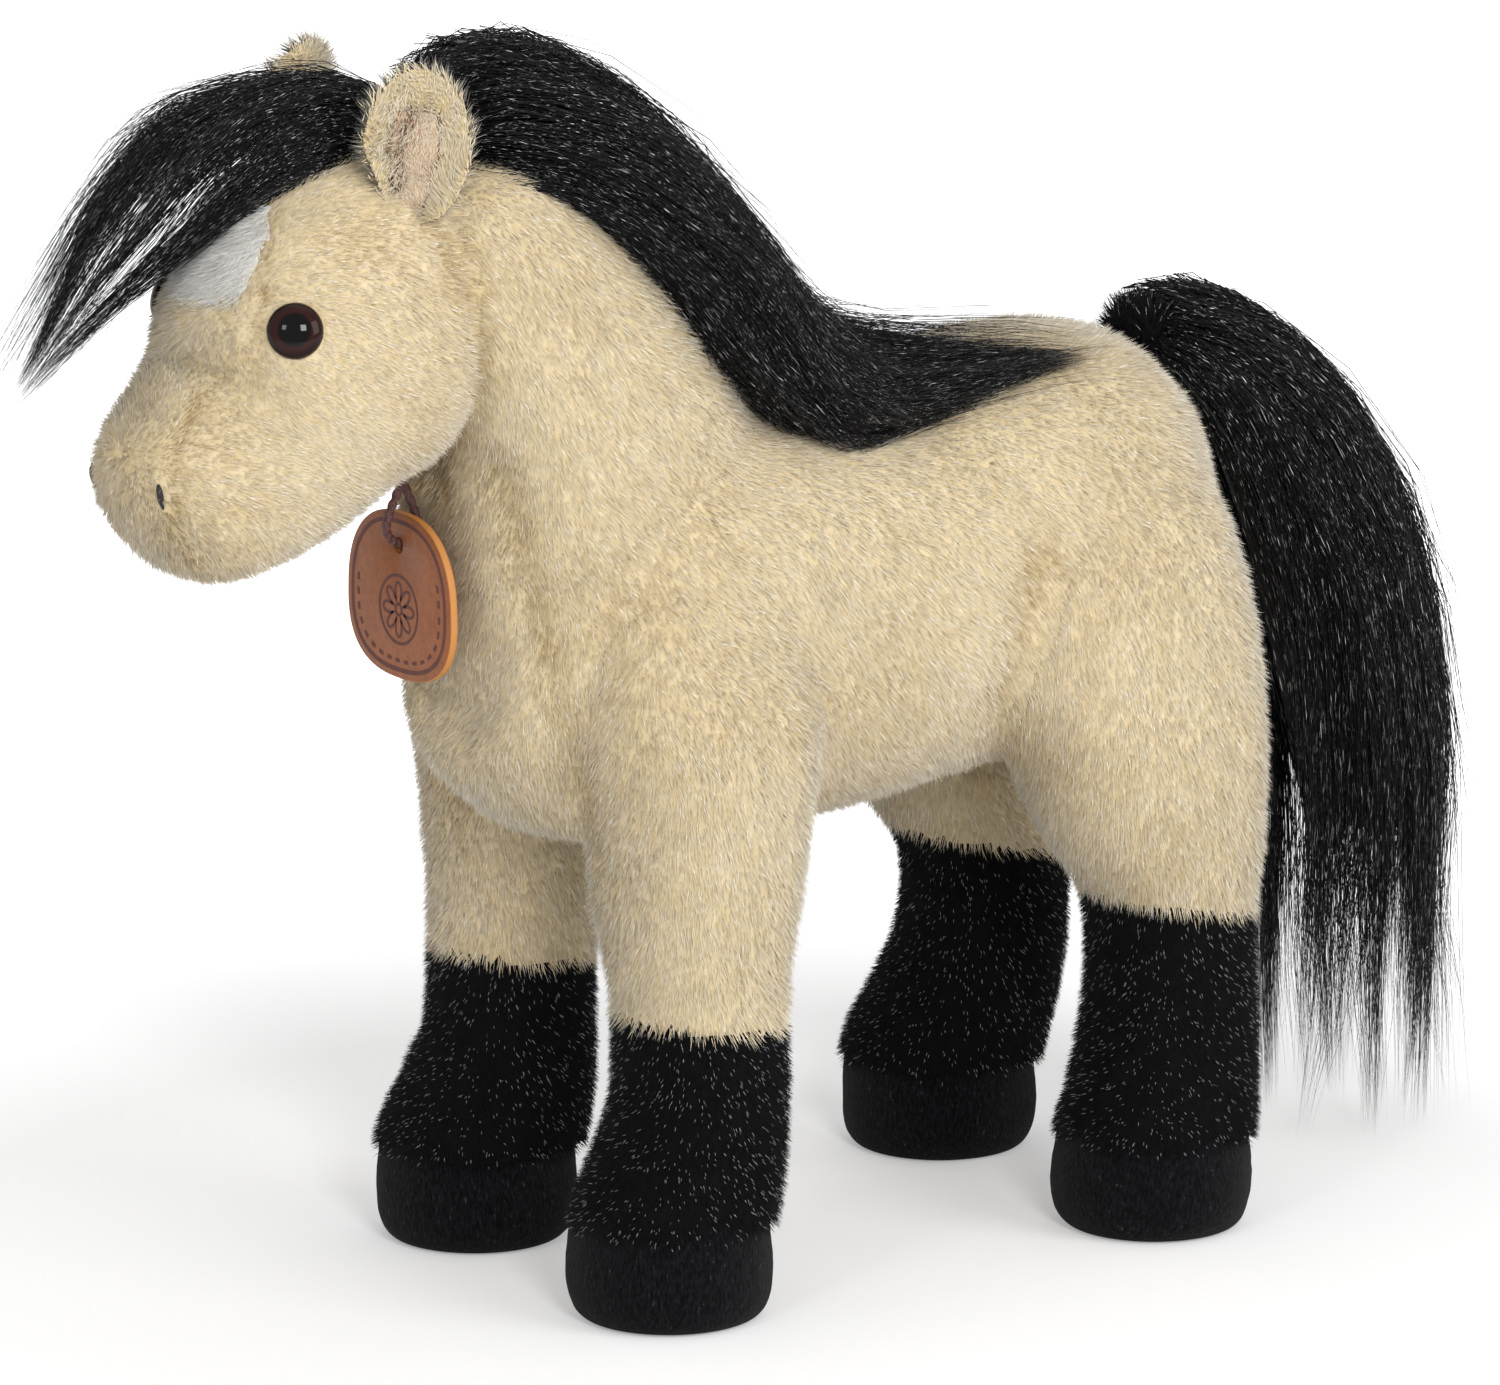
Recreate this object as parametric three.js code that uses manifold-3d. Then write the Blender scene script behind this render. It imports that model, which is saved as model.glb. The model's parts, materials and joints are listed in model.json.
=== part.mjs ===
// A standing plush pony: stuffed covers over fibre filling, plastic eyes, pile hair, and a hang tag on a cord.
// Units are millimetres. The nose points along -X, the pony's left side along -Y, and the soles stand at
// height zero.
import * as THREE from 'three';
import { mergeVertices } from 'three/addons/utils/BufferGeometryUtils.js';
import Module from 'manifold-3d';

const wasm = await Module();
wasm.setup();

// Body: the barrel from chest to rump, between the belly and the back.
const bodyLength = 232;
const bodyWidth = 108;
const bodyDepth = 125;
const bellyHeight = 115;
const chestX = -115;

// Neck: from its root inside the barrel up to the poll, leaning forward.
const neckLength = 125;
const neckWidth = 88;
const neckDepth = 100;
const neckLean = THREE.MathUtils.degToRad(33);
const neckRootX = -58;
const neckRootZ = 186;

// Head: from the poll down to the muzzle.
const headLength = 117;
const headWidth = 75;
const headDepth = 80;
const headPitch = THREE.MathUtils.degToRad(41);
const headRootX = -115.9;
const headRootZ = 288.5;

// Legs: a fore and a hind pattern, each with its hoof on the floor.
const legWidth = 52;
const foreLegHeight = 198;
const hindLegHeight = 216;
const foreFootX = -75;
const hindFootX = 76.5;
const foreFootSpread = 45;
const hindFootSpread = 48;
const foreSockTop = 77;
const hindSockTop = 87;
const foreSockTilt = THREE.MathUtils.degToRad(6);
const hindSockTilt = THREE.MathUtils.degToRad(11);
const hoofHeight = 28;
const soleThickness = 2.5;
const soleRadius = 21;

// Fabric and seams: the pile fabric's wall, the hoof fabric's wall and the clearance between sewn pieces.
const coverWall = 3;
const hoofWall = 2.6;
const seamGap = 0.3;
const leastRadius = 0.6;

// Eyes.
const eyeDiameter = 14;
const eyeRise = 4.4;
const eyeRimHeight = 1.1;
const eyeSeatDepth = 1.2;
const pressedWall = 1.5;
const shankDiameter = 4;
const shankLength = 11;
const shankRibRise = 0.35;
const shankRibCount = 4;
const washerDiameter = 13;
const washerThickness = 1.4;

// Forehead patch.
const patchWidth = 33;
const patchLength = 44;

// Ears.
const earHeight = 36;
const earWidth = 27.5;
const earCup = 7;
const earThickness = 3;
const earLiningThickness = 1.3;
const earLean = THREE.MathUtils.degToRad(9);
const earSplay = THREE.MathUtils.degToRad(4);
const earTurn = THREE.MathUtils.degToRad(20);
const earFoldRange = THREE.MathUtils.degToRad(40);

// Mane, forelock and tail.
const maneLength = 194;
const maneDrop = 80;
const maneWidth = 54;
const maneRootX = -124;
const maneRootZ = 304;
const maneRoll = THREE.MathUtils.degToRad(27);
const forelockLength = 92;
const forelockDrop = 72;
const forelockWidth = 38;
const forelockRootX = -126;
const forelockRootZ = 303;
const tailLength = 76;
const tailDrop = 220;
const tailWidth = 50;
const dockX = 106;
const dockZ = 228;
const dockRadius = 7;
const tailLiftRange = THREE.MathUtils.degToRad(40);
const tailSwingRange = THREE.MathUtils.degToRad(25);

// Hang tag and its cord.
const tagWidth = 48;
const tagHeight = 43;
const tagThickness = 2.4;
const tagEdgeRound = 0.5;
const tagHoleRadius = 2;
const tagHoleDrop = 8.6;
const tagPlaneX = -125;
const cordDiameter = 2.4;
const throatZ = 223;
const tagHang = 16;
const throatGrooveRadius = 3.8;
const throatGrooveLength = 9;

// The whole figure stands with the middle of its length over the origin.
const figureShift = 10.3;

const roundness = 2.25;
const across = new THREE.Vector3(0, 1, 0);
const upward = new THREE.Vector3(0, 0, 1);

// Rows of stations. Each holds the place along the form, the rise of the spine, the half width, the reach
// over and under the spine, and the drift to one side. All are shares of the form's length, depth and width.
const torsoShares = [
  [0, 0.53, 0.045, 0.05, 0.05],
  [0.01, 0.53, 0.14, 0.14, 0.15],
  [0.04, 0.53, 0.25, 0.28, 0.27],
  [0.083, 0.51, 0.345, 0.37, 0.38],
  [0.143, 0.49, 0.415, 0.43, 0.45],
  [0.23, 0.47, 0.47, 0.46, 0.465],
  [0.36, 0.455, 0.49, 0.45, 0.46],
  [0.49, 0.455, 0.495, 0.42, 0.45],
  [0.58, 0.47, 0.5, 0.393, 0.435],
  [0.68, 0.5, 0.5, 0.418, 0.44],
  [0.76, 0.515, 0.5, 0.442, 0.43],
  [0.84, 0.525, 0.475, 0.43, 0.42],
  [0.917, 0.54, 0.4, 0.384, 0.355],
  [0.96, 0.55, 0.3, 0.29, 0.26],
  [0.987, 0.55, 0.16, 0.15, 0.145],
  [1, 0.55, 0.05, 0.05, 0.05],
];
const neckShares = [
  [0, 0, 0.45, 0.46, 0.5],
  [0.25, 0, 0.47, 0.49, 0.48],
  [0.38, 0, 0.45, 0.5, 0.37],
  [0.51, 0, 0.42, 0.505, 0.28],
  [0.74, 0, 0.375, 0.465, 0.28],
  [0.9, 0, 0.33, 0.38, 0.26],
  [0.97, 0, 0.25, 0.29, 0.2],
  [1, 0, 0.12, 0.14, 0.1],
];
const headShares = [
  [0, -0.1, 0.08, 0.08, 0.08],
  [0.034, -0.1, 0.24, 0.25, 0.25],
  [0.12, -0.09, 0.385, 0.425, 0.4],
  [0.24, -0.06, 0.465, 0.51, 0.475],
  [0.376, -0.05, 0.5, 0.52, 0.5],
  [0.513, -0.06, 0.49, 0.455, 0.49],
  [0.624, -0.09, 0.45, 0.385, 0.41],
  [0.744, -0.1, 0.405, 0.37, 0.36],
  [0.846, -0.1, 0.37, 0.36, 0.3],
  [0.923, -0.1, 0.325, 0.32, 0.245],
  [0.974, -0.1, 0.24, 0.235, 0.175],
  [1, -0.1, 0.11, 0.11, 0.08],
];
const foreLegShares = [
  [0.04, 0, 0.49, 0.49, 0.49],
  [0.1, 0, 0.5, 0.5, 0.5],
  [0.16, -0.08, 0.477, 0.477, 0.477, 0.01],
  [0.215, -0.15, 0.452, 0.452, 0.452, 0.02],
  [0.28, -0.2, 0.418, 0.418, 0.418, 0.02],
  [0.4, -0.205, 0.412, 0.412, 0.412, 0.03],
  [0.54, -0.23, 0.485, 0.49, 0.49, 0.09],
  [0.63, -0.25, 0.5, 0.535, 0.535, 0.1],
  [0.76, -0.26, 0.51, 0.62, 0.62, 0.14],
  [0.87, -0.29, 0.425, 0.61, 0.61, 0.22],
  [0.95, -0.3, 0.27, 0.46, 0.46, 0.33],
  [1, -0.3, 0.06, 0.1, 0.1, 0.42],
];
const hindLegShares = [
  [0.04, 0, 0.49, 0.49, 0.49],
  [0.1, 0, 0.5, 0.5, 0.5],
  [0.148, -0.065, 0.475, 0.475, 0.475, 0.03],
  [0.23, -0.16, 0.44, 0.44, 0.44, 0.09],
  [0.33, -0.2, 0.418, 0.418, 0.418, 0.12],
  [0.4, -0.18, 0.425, 0.425, 0.425, 0.12],
  [0.46, -0.14, 0.465, 0.505, 0.49, 0.1],
  [0.555, -0.03, 0.51, 0.65, 0.615, 0.085],
  [0.695, 0.05, 0.52, 0.77, 0.66, 0.13],
  [0.83, 0.09, 0.46, 0.71, 0.63, 0.235],
  [0.94, 0.125, 0.29, 0.46, 0.44, 0.365],
  [1, 0.13, 0.06, 0.1, 0.1, 0.46],
];
const maneShares = [
  [0, 0, 0.16, 0.06, 0.08],
  [0.08, 0.07, 0.37, 0.16, 0.17, -0.04],
  [0.185, 0.03, 0.47, 0.17, 0.2, -0.12],
  [0.29, -0.13, 0.52, 0.165, 0.2, -0.19],
  [0.39, -0.38, 0.54, 0.15, 0.2, -0.25],
  [0.475, -0.66, 0.54, 0.14, 0.2, -0.3],
  [0.57, -0.88, 0.46, 0.11, 0.16, -0.34],
  [0.69, -0.955, 0.31, 0.08, 0.1, -0.28],
  [0.83, -0.95, 0.17, 0.055, 0.06, -0.39],
  [0.94, -0.92, 0.08, 0.035, 0.04, -0.51],
  [1, -0.93, 0.03, 0.02, 0.02, -0.57],
];
const forelockShares = [
  [0, 0, 0.25, 0.08, 0.1],
  [0.17, 0.09, 0.33, 0.1, 0.13, -0.03],
  [0.37, 0.08, 0.42, 0.11, 0.12, -0.16],
  [0.55, -0.03, 0.5, 0.1, 0.1, -0.33],
  [0.7, -0.24, 0.43, 0.085, 0.085, -0.5],
  [0.83, -0.5, 0.3, 0.07, 0.07, -0.68],
  [0.94, -0.76, 0.14, 0.045, 0.045, -0.82],
  [1, -0.94, 0.03, 0.015, 0.015, -0.9],
];
const tailShares = [
  [0.02, 0.01, 0.17, 0.11, 0.1],
  [0.17, 0, 0.25, 0.15, 0.15],
  [0.4, -0.055, 0.34, 0.2, 0.22],
  [0.63, -0.16, 0.42, 0.26, 0.27],
  [0.82, -0.31, 0.48, 0.285, 0.285],
  [0.925, -0.47, 0.49, 0.285, 0.29],
  [0.95, -0.63, 0.47, 0.265, 0.28],
  [0.93, -0.79, 0.42, 0.24, 0.26],
  [0.905, -0.9, 0.33, 0.2, 0.22],
  [0.885, -0.97, 0.19, 0.12, 0.13],
  [0.875, -1, 0.05, 0.03, 0.03],
];

// Half width of an ear up its height, and how deep it is cupped there, as shares of earWidth and earCup.
const earShares = [
  [-0.13, 0.27, 1],
  [0, 0.33, 1],
  [0.16, 0.43, 0.95],
  [0.38, 0.5, 0.8],
  [0.6, 0.47, 0.55],
  [0.8, 0.37, 0.32],
  [0.93, 0.22, 0.15],
  [1, 0.06, 0.06],
];

// A solid from a three.js geometry, or from points and triangles.
function solidOf(shape) {
  let points = shape.points;
  let triangles = shape.triangles;
  if (shape.isBufferGeometry) {
    const bare = shape.clone();
    bare.deleteAttribute('normal');
    bare.deleteAttribute('uv');
    const merged = mergeVertices(bare);
    points = Array.from(merged.getAttribute('position').array);
    triangles = Array.from(merged.index.array);
  }
  const mesh = new wasm.Mesh({
    numProp: 3,
    vertProperties: new Float32Array(points),
    triVerts: new Uint32Array(triangles),
  });
  return new wasm.Manifold(mesh);
}

function geometryOf(solid) {
  const mesh = solid.getMesh();
  const geometry = new THREE.BufferGeometry();
  geometry.setAttribute('position', new THREE.BufferAttribute(new Float32Array(mesh.vertProperties), 3));
  geometry.setIndex(new THREE.BufferAttribute(new Uint32Array(mesh.triVerts), 1));
  geometry.computeVertexNormals();
  return geometry;
}

function subtractAll(solid, cutters) {
  return cutters.reduce((rest, cutter) => rest.subtract(cutter), solid);
}

// Points and triangles turned by an angle about a line.
function turnedAbout(shape, pivot, axis, angle) {
  const turn = new THREE.Quaternion().setFromAxisAngle(axis, angle);
  const points = [];
  const point = new THREE.Vector3();
  for (let i = 0; i < shape.points.length; i += 3) {
    point.fromArray(shape.points, i).sub(pivot).applyQuaternion(turn).add(pivot);
    points.push(point.x, point.y, point.z);
  }
  return { points, triangles: shape.triangles };
}

// A stuffed form: rows of shares read against a size, in a frame with X along the form and Z over its spine.
// The reach over and under the spine is read against the depth, or against the girth of a form that has one.
function makeForm(rows, size, place, flute = null) {
  const mirror = size.mirror ?? 1;
  const girth = size.girth ?? size.depth;
  const spine = new THREE.CatmullRomCurve3(rows.map(([along, rise, , , , drift = 0]) =>
    new THREE.Vector3(along * size.length, mirror * drift * size.width, rise * size.depth)));
  const reach = new THREE.CatmullRomCurve3(rows.map(([, , half, over, under]) =>
    new THREE.Vector3(half * size.width, over * girth, under * girth)));
  return { rows, spine, reach, place, flute, roll: size.roll ?? 0 };
}

// A point on a form's surface at a share of its rows and an angle, which starts at the form's side.
function formPoint(form, share, angle, grow = 0) {
  const tangent = form.spine.getTangent(share);
  const side = across.clone().applyAxisAngle(tangent, form.roll);
  side.addScaledVector(tangent, -side.dot(tangent)).normalize();
  const over = tangent.clone().cross(side);
  const reach = form.reach.getPoint(share);
  const cosine = Math.cos(angle);
  const sine = Math.sin(angle);
  const bulge = (value) => Math.sign(value) * Math.abs(value) ** (2 / roundness);
  const lock = form.flute ? 1 + form.flute.depthShare * Math.cos(form.flute.count * angle) : 1;
  const half = Math.max(reach.x * lock + grow, leastRadius);
  const depth = Math.max((sine > 0 ? reach.y : reach.z) * lock + grow, leastRadius);
  return form.spine.getPoint(share)
    .addScaledVector(tangent, grow * (2 * share - 1))
    .addScaledVector(side, half * bulge(cosine))
    .addScaledVector(over, depth * bulge(sine))
    .applyMatrix4(form.place);
}

// The closed skin of a form, grown or shrunk by a distance, with a number of rings for each row.
function formSkin(form, segments, ringsPerRow, grow = 0) {
  const rings = (form.rows.length - 1) * ringsPerRow;
  const points = [];
  const triangles = [];
  const middleOf = (share) => form.spine.getPoint(share)
    .addScaledVector(form.spine.getTangent(share), grow * (2 * share - 1))
    .applyMatrix4(form.place);
  points.push(...middleOf(0).toArray(), ...middleOf(1).toArray());
  for (let ring = 0; ring <= rings; ring += 1) {
    for (let step = 0; step < segments; step += 1) {
      const angle = (2 * Math.PI * step) / segments;
      points.push(...formPoint(form, ring / rings, angle, grow).toArray());
    }
  }
  const at = (ring, step) => 2 + ring * segments + (step % segments);
  for (let step = 0; step < segments; step += 1) {
    triangles.push(0, at(0, step + 1), at(0, step));
    triangles.push(1, at(rings, step), at(rings, step + 1));
    for (let ring = 0; ring < rings; ring += 1) {
      triangles.push(at(ring, step), at(ring, step + 1), at(ring + 1, step + 1));
      triangles.push(at(ring, step), at(ring + 1, step + 1), at(ring + 1, step));
    }
  }
  return { points, triangles };
}

// The outward direction of a form's surface at a point.
function formNormal(form, share, angle) {
  const step = 0.01;
  const alongStep = formPoint(form, share + step, angle).sub(formPoint(form, share - step, angle));
  const aroundStep = formPoint(form, share, angle + step).sub(formPoint(form, share, angle - step));
  return aroundStep.cross(alongStep).normalize();
}

// A frame with its X along one direction, its Y along another and its origin at a point.
function frameAt(origin, xAxis, yAxis) {
  const zAxis = xAxis.clone().cross(yAxis);
  return new THREE.Matrix4().makeBasis(xAxis, yAxis, zAxis).setPosition(origin);
}

// A disc, ball or other turned piece: its outline of radii and heights, with its axis along a direction.
function turnedGeometry(outline, segments, origin, direction) {
  const profile = outline.map(([radius, height]) => new THREE.Vector2(radius, height));
  const turn = new THREE.Quaternion().setFromUnitVectors(across, direction);
  return new THREE.LatheGeometry(profile, segments).applyQuaternion(turn)
    .translate(origin.x, origin.y, origin.z);
}

function turnedSolid(outline, segments, origin, direction) {
  return solidOf(turnedGeometry(outline, segments, origin, direction));
}

function cylinderSolid(radius, low, high, segments, origin, direction) {
  return turnedSolid([[0, low], [radius, low], [radius, high], [0, high]], segments, origin, direction);
}

function ballOutline(radius, steps) {
  return Array.from({ length: steps + 1 }, (unused, step) => {
    const angle = (Math.PI * step) / steps - Math.PI / 2;
    const rim = step === 0 || step === steps;
    return [rim ? 0 : radius * Math.cos(angle), radius * Math.sin(angle)];
  });
}

// Colours and surfaces.
const dunPlush = { color: 0xd9c6a0, roughness: 0.95, metalness: 0 };
const blackPlush = { color: 0x141416, roughness: 0.95, metalness: 0 };
const blackVelour = { color: 0x0e0e10, roughness: 0.98, metalness: 0 };
const blackHair = { color: 0x16161a, roughness: 0.6, metalness: 0 };
const whitePlush = { color: 0xf2efe8, roughness: 0.95, metalness: 0 };
const earLiningFabric = { color: 0xc9a58c, roughness: 0.95, metalness: 0 };
const fibreFilling = { color: 0xf4f4f2, roughness: 1, metalness: 0 };
const eyePlastic = { color: 0x1a0d08, roughness: 0.08, metalness: 0 };
const washerPlastic = { color: 0xe8e8e4, roughness: 0.5, metalness: 0 };
const tanLeather = { color: 0xa0673c, roughness: 0.6, metalness: 0 };
const brownCord = { color: 0x4a2c20, roughness: 0.7, metalness: 0 };

const pony = new THREE.Group();
pony.position.x = figureShift;

function addPiece(name, solid, finish) {
  const mesh = new THREE.Mesh(geometryOf(solid), new THREE.MeshStandardMaterial(finish));
  mesh.name = name;
  pony.add(mesh);
}

// The forms in their places.
const torsoForm = makeForm(
  torsoShares,
  { length: bodyLength, width: bodyWidth, depth: bodyDepth },
  frameAt(new THREE.Vector3(chestX, 0, bellyHeight), new THREE.Vector3(1, 0, 0), across),
);
const neckAlong = new THREE.Vector3(-Math.sin(neckLean), 0, Math.cos(neckLean));
const neckForm = makeForm(
  neckShares,
  { length: neckLength, width: neckWidth, depth: neckDepth },
  frameAt(new THREE.Vector3(neckRootX, 0, neckRootZ), neckAlong, across.clone().negate()),
);
const headAlong = new THREE.Vector3(-Math.cos(headPitch), 0, -Math.sin(headPitch));
const headFrame = frameAt(new THREE.Vector3(headRootX, 0, headRootZ), headAlong, across.clone().negate());
const headForm = makeForm(
  headShares,
  { length: headLength, width: headWidth, depth: headDepth },
  headFrame,
);

const legPlans = [
  { name: 'front_left', rows: foreLegShares, height: foreLegHeight, x: foreFootX, y: -foreFootSpread,
    sockTop: foreSockTop, sockTilt: foreSockTilt },
  { name: 'front_right', rows: foreLegShares, height: foreLegHeight, x: foreFootX, y: foreFootSpread,
    sockTop: foreSockTop, sockTilt: foreSockTilt },
  { name: 'hind_left', rows: hindLegShares, height: hindLegHeight, x: hindFootX, y: -hindFootSpread,
    sockTop: hindSockTop, sockTilt: hindSockTilt },
  { name: 'hind_right', rows: hindLegShares, height: hindLegHeight, x: hindFootX, y: hindFootSpread,
    sockTop: hindSockTop, sockTilt: hindSockTilt },
];
for (const plan of legPlans) {
  plan.form = makeForm(
    plan.rows,
    { length: plan.height, width: legWidth, depth: legWidth, mirror: -Math.sign(plan.y) },
    frameAt(new THREE.Vector3(plan.x, plan.y, 0), upward, across),
  );
}

// Skins of each form: its outside, the same grown by the seam's clearance, its inside, and its filling.
const skinSteps = {
  torso: { around: 24, inside: 14 },
  neck: { around: 20, inside: 12 },
  head: { around: 24, inside: 14 },
  leg: { around: 16, inside: 8 },
};
function skinsOf(form, steps, ringsPerRow) {
  return {
    outside: solidOf(formSkin(form, steps.around, ringsPerRow)),
    cleared: solidOf(formSkin(form, steps.around, ringsPerRow, seamGap)),
    inside: solidOf(formSkin(form, steps.inside, 1, -coverWall)),
    filling: solidOf(formSkin(form, steps.inside, 1, -coverWall - seamGap)),
  };
}
const torso = skinsOf(torsoForm, skinSteps.torso, 1);
const neck = skinsOf(neckForm, skinSteps.neck, 1);
const head = skinsOf(headForm, skinSteps.head, 2);
const legs = legPlans.map((plan) => ({ ...plan, ...skinsOf(plan.form, skinSteps.leg, 1) }));

// Tail dock: a ball-ended stub sewn into a socket at the top of the rump.
const dockCentre = new THREE.Vector3(dockX, 0, dockZ);
const ballSteps = 8;
const ballSegments = 16;
const dockBall = turnedSolid(ballOutline(dockRadius, ballSteps), ballSegments, dockCentre, upward);
const socketOutline = ballOutline(dockRadius + seamGap, ballSteps);
const dockSocket = turnedSolid(socketOutline, ballSegments, dockCentre, upward);
addPiece('tail_dock', dockBall, blackPlush);

// Torso: a cover that is open where the neck and the legs are sewn on, over its filling.
const torsoOpenings = [torso.inside, neck.inside, ...legs.map((leg) => leg.inside), dockSocket];
addPiece('torso_cover', subtractAll(torso.outside, torsoOpenings), dunPlush);
addPiece('torso_filling', subtractAll(torso.filling, [dockSocket]), fibreFilling);

// Neck: a cover between the torso and the head, over its filling.
const neckCutters = [torso.cleared, head.cleared];
addPiece('neck_cover', subtractAll(neck.outside, [neck.inside, ...neckCutters]), dunPlush);
addPiece('neck_filling', subtractAll(neck.filling, neckCutters), fibreFilling);

// Eyes: a dome with a rim, a ribbed shank through the head cover, and a lock washer behind the cover.
const eyeShare = 0.445;
const eyeAngle = THREE.MathUtils.degToRad(38);
const eyeSegments = 14;
const eyePlans = [
  { name: 'left', angle: eyeAngle },
  { name: 'right', angle: Math.PI - eyeAngle },
];
function eyeOutline() {
  const radius = eyeDiameter / 2;
  const domeRise = eyeRise - eyeRimHeight;
  const ribPitch = shankLength / (2 * shankRibCount);
  const outline = [[0, -shankLength]];
  for (let rib = 0; rib < 2 * shankRibCount; rib += 1) {
    const rise = rib % 2 === 0 ? 0 : shankRibRise;
    outline.push([shankDiameter / 2 + rise, -shankLength + rib * ribPitch]);
  }
  outline.push([shankDiameter / 2, 0], [radius, 0], [radius, eyeRimHeight]);
  const domeSteps = 5;
  for (let step = 1; step < domeSteps; step += 1) {
    const angle = (Math.PI / 2) * (step / domeSteps);
    outline.push([radius * Math.cos(angle), eyeRimHeight + domeRise * Math.sin(angle)]);
  }
  outline.push([0, eyeRise]);
  return outline;
}
const eyeHoles = [];
const eyePockets = [];
for (const plan of eyePlans) {
  const surface = formPoint(headForm, eyeShare, plan.angle);
  const outward = formNormal(headForm, eyeShare, plan.angle);
  const seat = surface.clone().addScaledVector(outward, -eyeSeatDepth);
  const washerTop = -pressedWall - 2 * seamGap;
  const washerLow = washerTop - washerThickness;
  const boreRadius = shankDiameter / 2 + shankRibRise + seamGap;
  const fit = { origin: seat.clone().addScaledVector(outward, seamGap), outward };
  const turned = (outline) => turnedSolid(outline, eyeSegments, fit.origin, fit.outward);
  const washerOutline = [
    [boreRadius, washerLow], [washerDiameter / 2, washerLow], [washerDiameter / 2, washerTop],
    [boreRadius, washerTop], [boreRadius, washerLow],
  ];
  addPiece(`eye_${plan.name}`, turned(eyeOutline()), eyePlastic);
  addPiece(`eye_washer_${plan.name}`, turned(washerOutline), washerPlastic);
  eyeHoles.push(
    cylinderSolid(boreRadius, -shankLength, eyeRise, eyeSegments, fit.origin, fit.outward),
    cylinderSolid(eyeDiameter / 2 + seamGap, -seamGap, eyeRise, eyeSegments, fit.origin, fit.outward),
    cylinderSolid(washerDiameter / 2 + seamGap, -shankLength, washerTop + seamGap, eyeSegments,
      fit.origin, fit.outward),
  );
  eyePockets.push(
    cylinderSolid(boreRadius, -shankLength - seamGap, eyeRise, eyeSegments, fit.origin, fit.outward),
    cylinderSolid(washerDiameter / 2 + seamGap, washerLow - seamGap, eyeRise, eyeSegments,
      fit.origin, fit.outward),
  );
}

// Forehead patch: a shield-shaped panel let into the head cover below the forelock.
const patchStart = 0.19 * headLength;
const patchLow = 0.1 * headDepth;
const patchHigh = 0.8 * headDepth;
function patchSolid(grow) {
  const half = patchWidth / 2 + grow;
  const topHalf = 0.36 * patchWidth + grow;
  const start = patchStart - grow;
  const end = patchStart + patchLength + grow;
  const corner = 0.82 * patchLength + patchStart;
  const outline = new THREE.Shape();
  outline.moveTo(start, -topHalf);
  outline.lineTo(corner, -half);
  outline.quadraticCurveTo(end, -half, end, 0);
  outline.quadraticCurveTo(end, half, corner, half);
  outline.lineTo(start, topHalf);
  outline.closePath();
  const prism = new THREE.ExtrudeGeometry(outline, {
    depth: patchHigh - patchLow, bevelEnabled: false, curveSegments: 4,
  });
  return solidOf(prism.translate(0, 0, patchLow).applyMatrix4(headFrame));
}
const headShell = head.outside.subtract(head.inside);
addPiece('forehead_patch', headShell.intersect(patchSolid(0)), whitePlush);

// Throat: the groove in the jaw's seam where the ends of the tag's cord are sewn in.
const throat = new THREE.Vector3(tagPlaneX, 0, throatZ);
const throatGroove = cylinderSolid(
  throatGrooveRadius, -throatGrooveLength / 2, throatGrooveLength / 2, ballSegments, throat, across);

// Head: a cover that is open at its back, over its filling.
addPiece(
  'head_cover',
  subtractAll(headShell, [neck.inside, ...eyeHoles, patchSolid(seamGap), throatGroove]),
  dunPlush,
);
addPiece('head_filling', subtractAll(head.filling, [...eyePockets, throatGroove]), fibreFilling);

// Legs: a dun cover, a black sock, a hoof cover and a sole, all over one filling.
const hoofSegments = 16;
const solePlay = soleRadius + seamGap;
const hoofRadius = legWidth / 2;
const hoofTopRadius = 0.945 * hoofRadius;
const hoofOutline = [
  [solePlay, 0.03 * hoofHeight],
  [0.93 * hoofRadius, 0.1 * hoofHeight],
  [hoofRadius, 0.32 * hoofHeight],
  [0.985 * hoofRadius, 0.65 * hoofHeight],
  [hoofTopRadius, hoofHeight - seamGap],
  [hoofTopRadius - hoofWall, hoofHeight - seamGap],
  [0.985 * hoofRadius - hoofWall, 0.65 * hoofHeight],
  [hoofRadius - hoofWall, 0.32 * hoofHeight],
  [solePlay, 0.12 * hoofHeight],
  [solePlay, 0.03 * hoofHeight],
];
const hoofFillingOutline = [
  [0, soleThickness + seamGap],
  [soleRadius - seamGap, soleThickness + seamGap],
  [soleRadius - seamGap, 0.12 * hoofHeight],
  [hoofRadius - hoofWall - seamGap, 0.32 * hoofHeight],
  [0.985 * hoofRadius - hoofWall - seamGap, 0.65 * hoofHeight],
  [hoofTopRadius - hoofWall - seamGap, hoofHeight - seamGap],
  [0.75 * hoofTopRadius, hoofHeight],
  [0.75 * hoofTopRadius, hoofHeight + coverWall],
  [0, hoofHeight + coverWall],
];
const soleOutline = [[0, 0], [soleRadius, 0], [soleRadius, soleThickness], [0, soleThickness]];
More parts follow.
